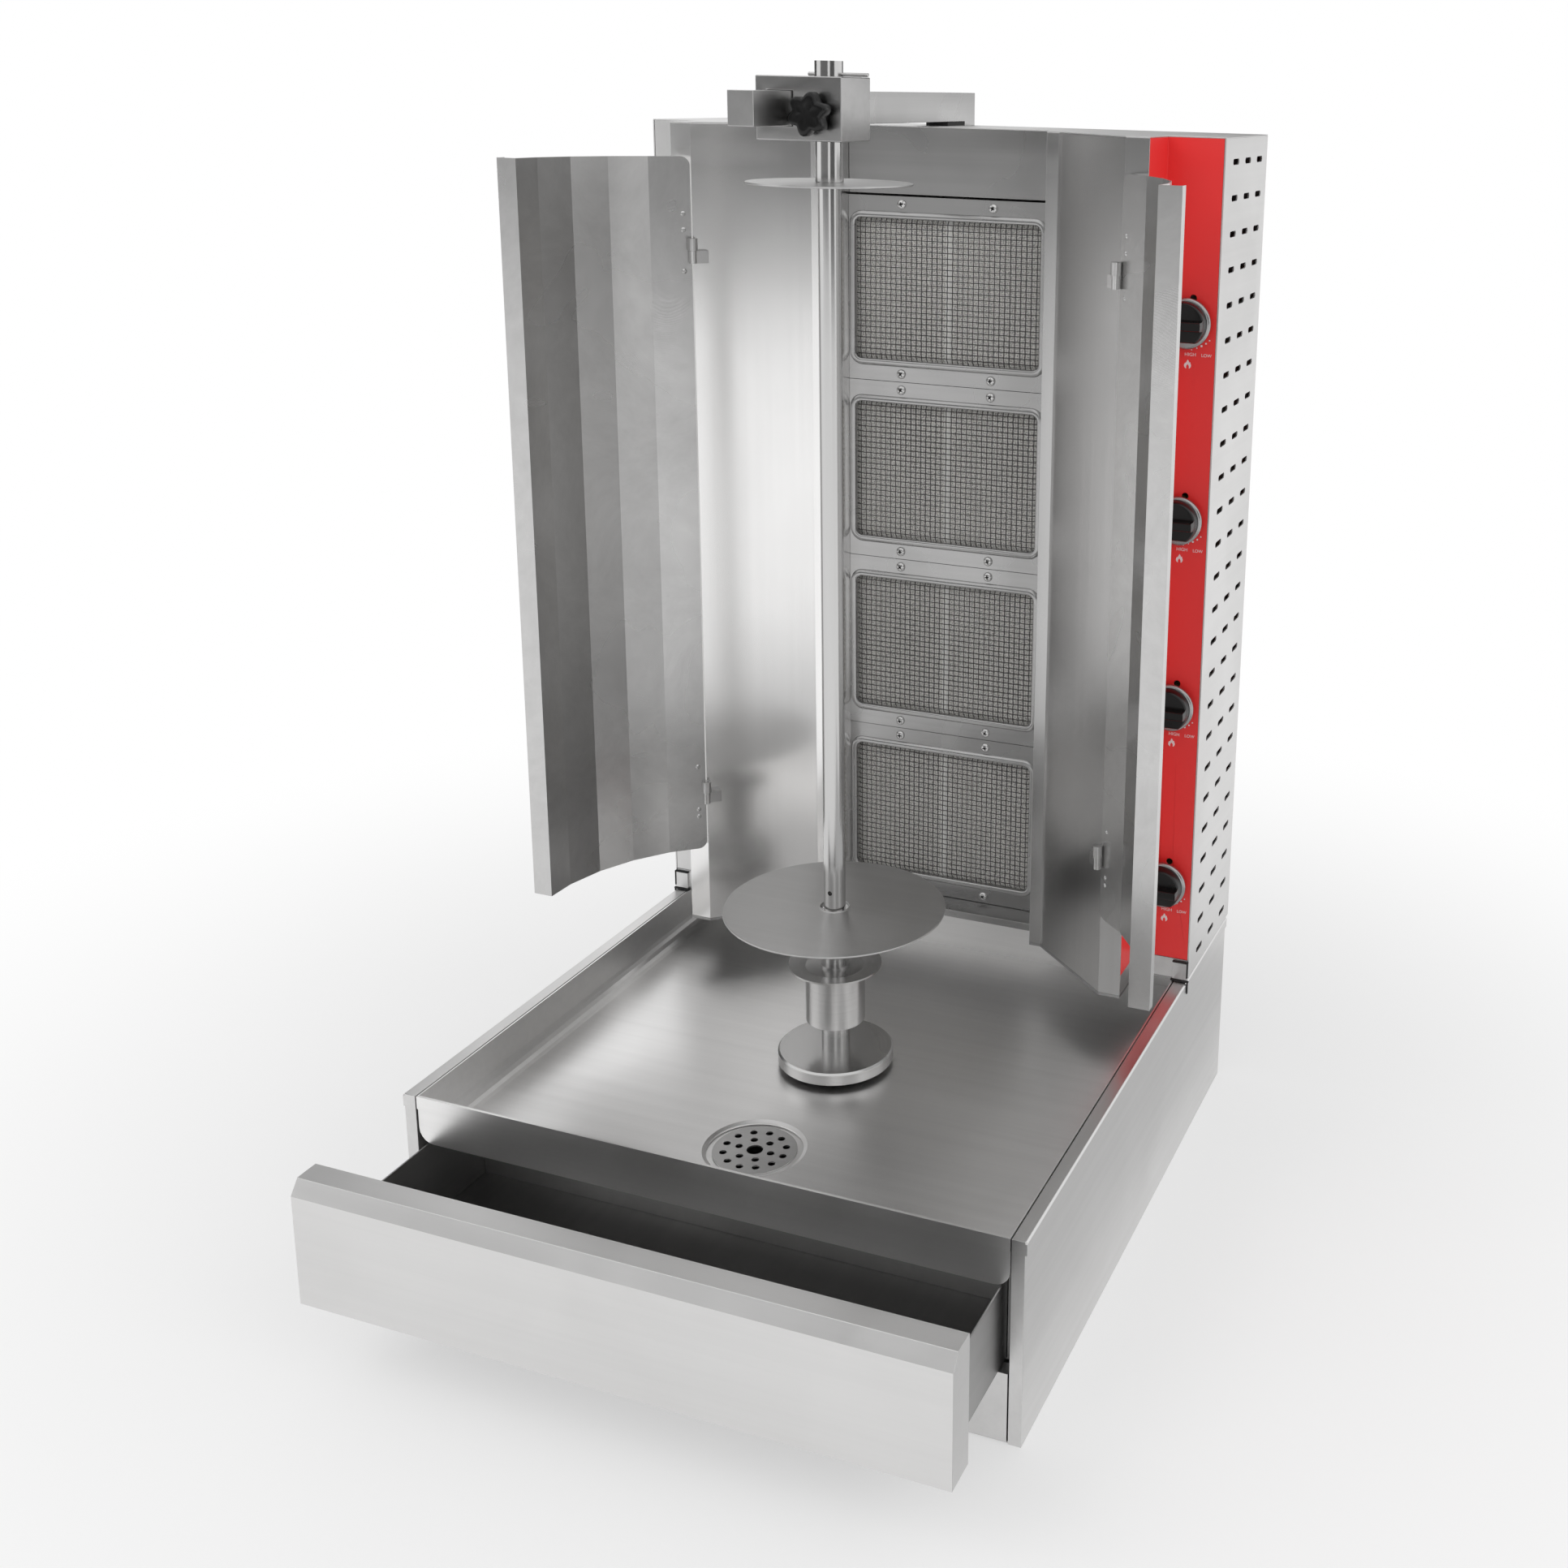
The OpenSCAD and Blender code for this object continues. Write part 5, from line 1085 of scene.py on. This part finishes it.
# %% [markdown]
# ## The floor
# The ground is white paper that keeps the soft shadow under the grill. A
# plain white floor would show its far edge, so it glows into the white of the
# world as it goes outwards, for the camera and reflections only. It lies a
# hair under the feet.

# %% Floor
FLOOR_W, FLOOR_DROP = 80.0, 0.0004
SHADOW_FROM, SHADOW_TO = 0.35, 1.3
GLOW_NEAR = 0.45
PAPER = (0.93, 0.93, 0.93, 1)


def flat_sheet(name, width, height, material):
    """A single flat face about the origin, in metres, as an object."""
    mesh = bpy.data.meshes.new(name)
    corners = [(x * width / 2, y * height / 2, 0) for x, y in ((-1, -1), (1, -1), (1, 1), (-1, 1))]
    mesh.from_pydata(corners, [], [(0, 1, 2, 3)])
    mesh.materials.append(material)
    return put_in_scene(name, mesh)


paper, tree = bare_material("floor_paper")
away = add(tree, "VectorMath", out=1, settings={"operation": "LENGTH"}, _0=add(tree, "TexCoord", out=3))
far = add(tree, "MapRange", settings={"interpolation_type": "SMOOTHSTEP"}, Value=away,
          From_Min=SHADOW_FROM, From_Max=SHADOW_TO, To_Min=GLOW_NEAR, To_Max=1.0)
matt = add(tree, "BsdfDiffuse", Color=PAPER)
glow = add(tree, "Emission", Color=WHITE, Strength=1.0)
mixed = add(tree, "MixShader", _0=far, _1=matt, _2=glow)
path = tree.nodes.new("ShaderNodeLightPath").outputs
seen = either(tree, path["Is Camera Ray"], path["Is Glossy Ray"])
show(tree, add(tree, "MixShader", _0=seen, _1=matt, _2=mixed))
floor = flat_sheet("floor", FLOOR_W, FLOOR_W, paper)
floor.location.z = -FLOOR_DROP
print("floor: %.0f m wide" % FLOOR_W)

# %% [markdown]
# ## Lamps
# Two large soft boxes shape the grill: a key from the upper left and a weaker
# fill from the right. They are hidden from reflections, because a lamp that
# mirrors in the bay wall would show as a hard white square.

# %% Lamps
def soft_lamp(name, at, aim, size, power):
    lamp = bpy.data.lights.new(name, "AREA")
    lamp.shape = "SQUARE"
    lamp.size = size
    lamp.energy = power
    obj = put_in_scene(name, lamp)
    obj.location = at
    obj.rotation_euler = (Vector(aim) - Vector(at)).to_track_quat("-Z", "Y").to_euler()
    obj.visible_glossy = False
    print("lamp:", name, power, "W")


soft_lamp("key_light", (-1.6, -2.2, 2.8), (0, 0, 0.4), 2.2, 27)
soft_lamp("fill_light", (2.6, -1.2, 1.9), (0, 0, 0.5), 2.0, 19)

# %% [markdown]
# ## Dark cards for the reflections
# In an all-white room polished steel looks like paper. A photographer hangs
# black flags beside the camera, and these cards are the same: reflections
# alone see them, so they put the darker bands in the steel and leave the
# ground and the shadows as they are. The last one lies on the ground to the
# right and darkens what the base side mirrors.

# %% Dark cards
def dark_card(name, at, aim, width, height, level):
    material, card_tree = bare_material(name)
    show(card_tree, add(card_tree, "Emission", Color=WHITE, Strength=level))
    card = flat_sheet(name, width, height, material)
    card.location = at
    card.rotation_euler = (Vector(aim) - Vector(at)).to_track_quat("Z", "Y").to_euler()
    for kind in ("camera", "diffuse", "transmission", "volume_scatter", "shadow"):
        setattr(card, "visible_" + kind, False)
    print("card:", name, "at level", level)


dark_card("left_flag", (-1.7, 0.5, 0.9), (0, 0, 0.5), 1.3, 2.4, 0.10)
dark_card("back_flag", (0.2, 2.0, 1.5), (0, 0, 0.6), 1.6, 1.2, 0.16)
dark_card("high_flag", (-0.5, 0.9, 2.4), (0, 0, 0.3), 1.0, 0.8, 0.22)
dark_card("front_room", (-1.1, -3.3, 1.45), (-1.1, 0, 1.45), 4.2, 1.8, 0.18)
dark_card("right_room", (2.4, -1.9, 1.22), (0, 0, 1.22), 2.0, 1.5, 0.12)
dark_card("right_ground", (0.66, -0.1, 0.002), (0.66, -0.1, 1.0), 0.7, 1.3, 0.55)

# %% [markdown]
# ## View settings
# A film-like view would shift the red of the panel, and Standard keeps the
# colours as written.

# %% Finish
bpy.context.scene.view_settings.view_transform = "Standard"
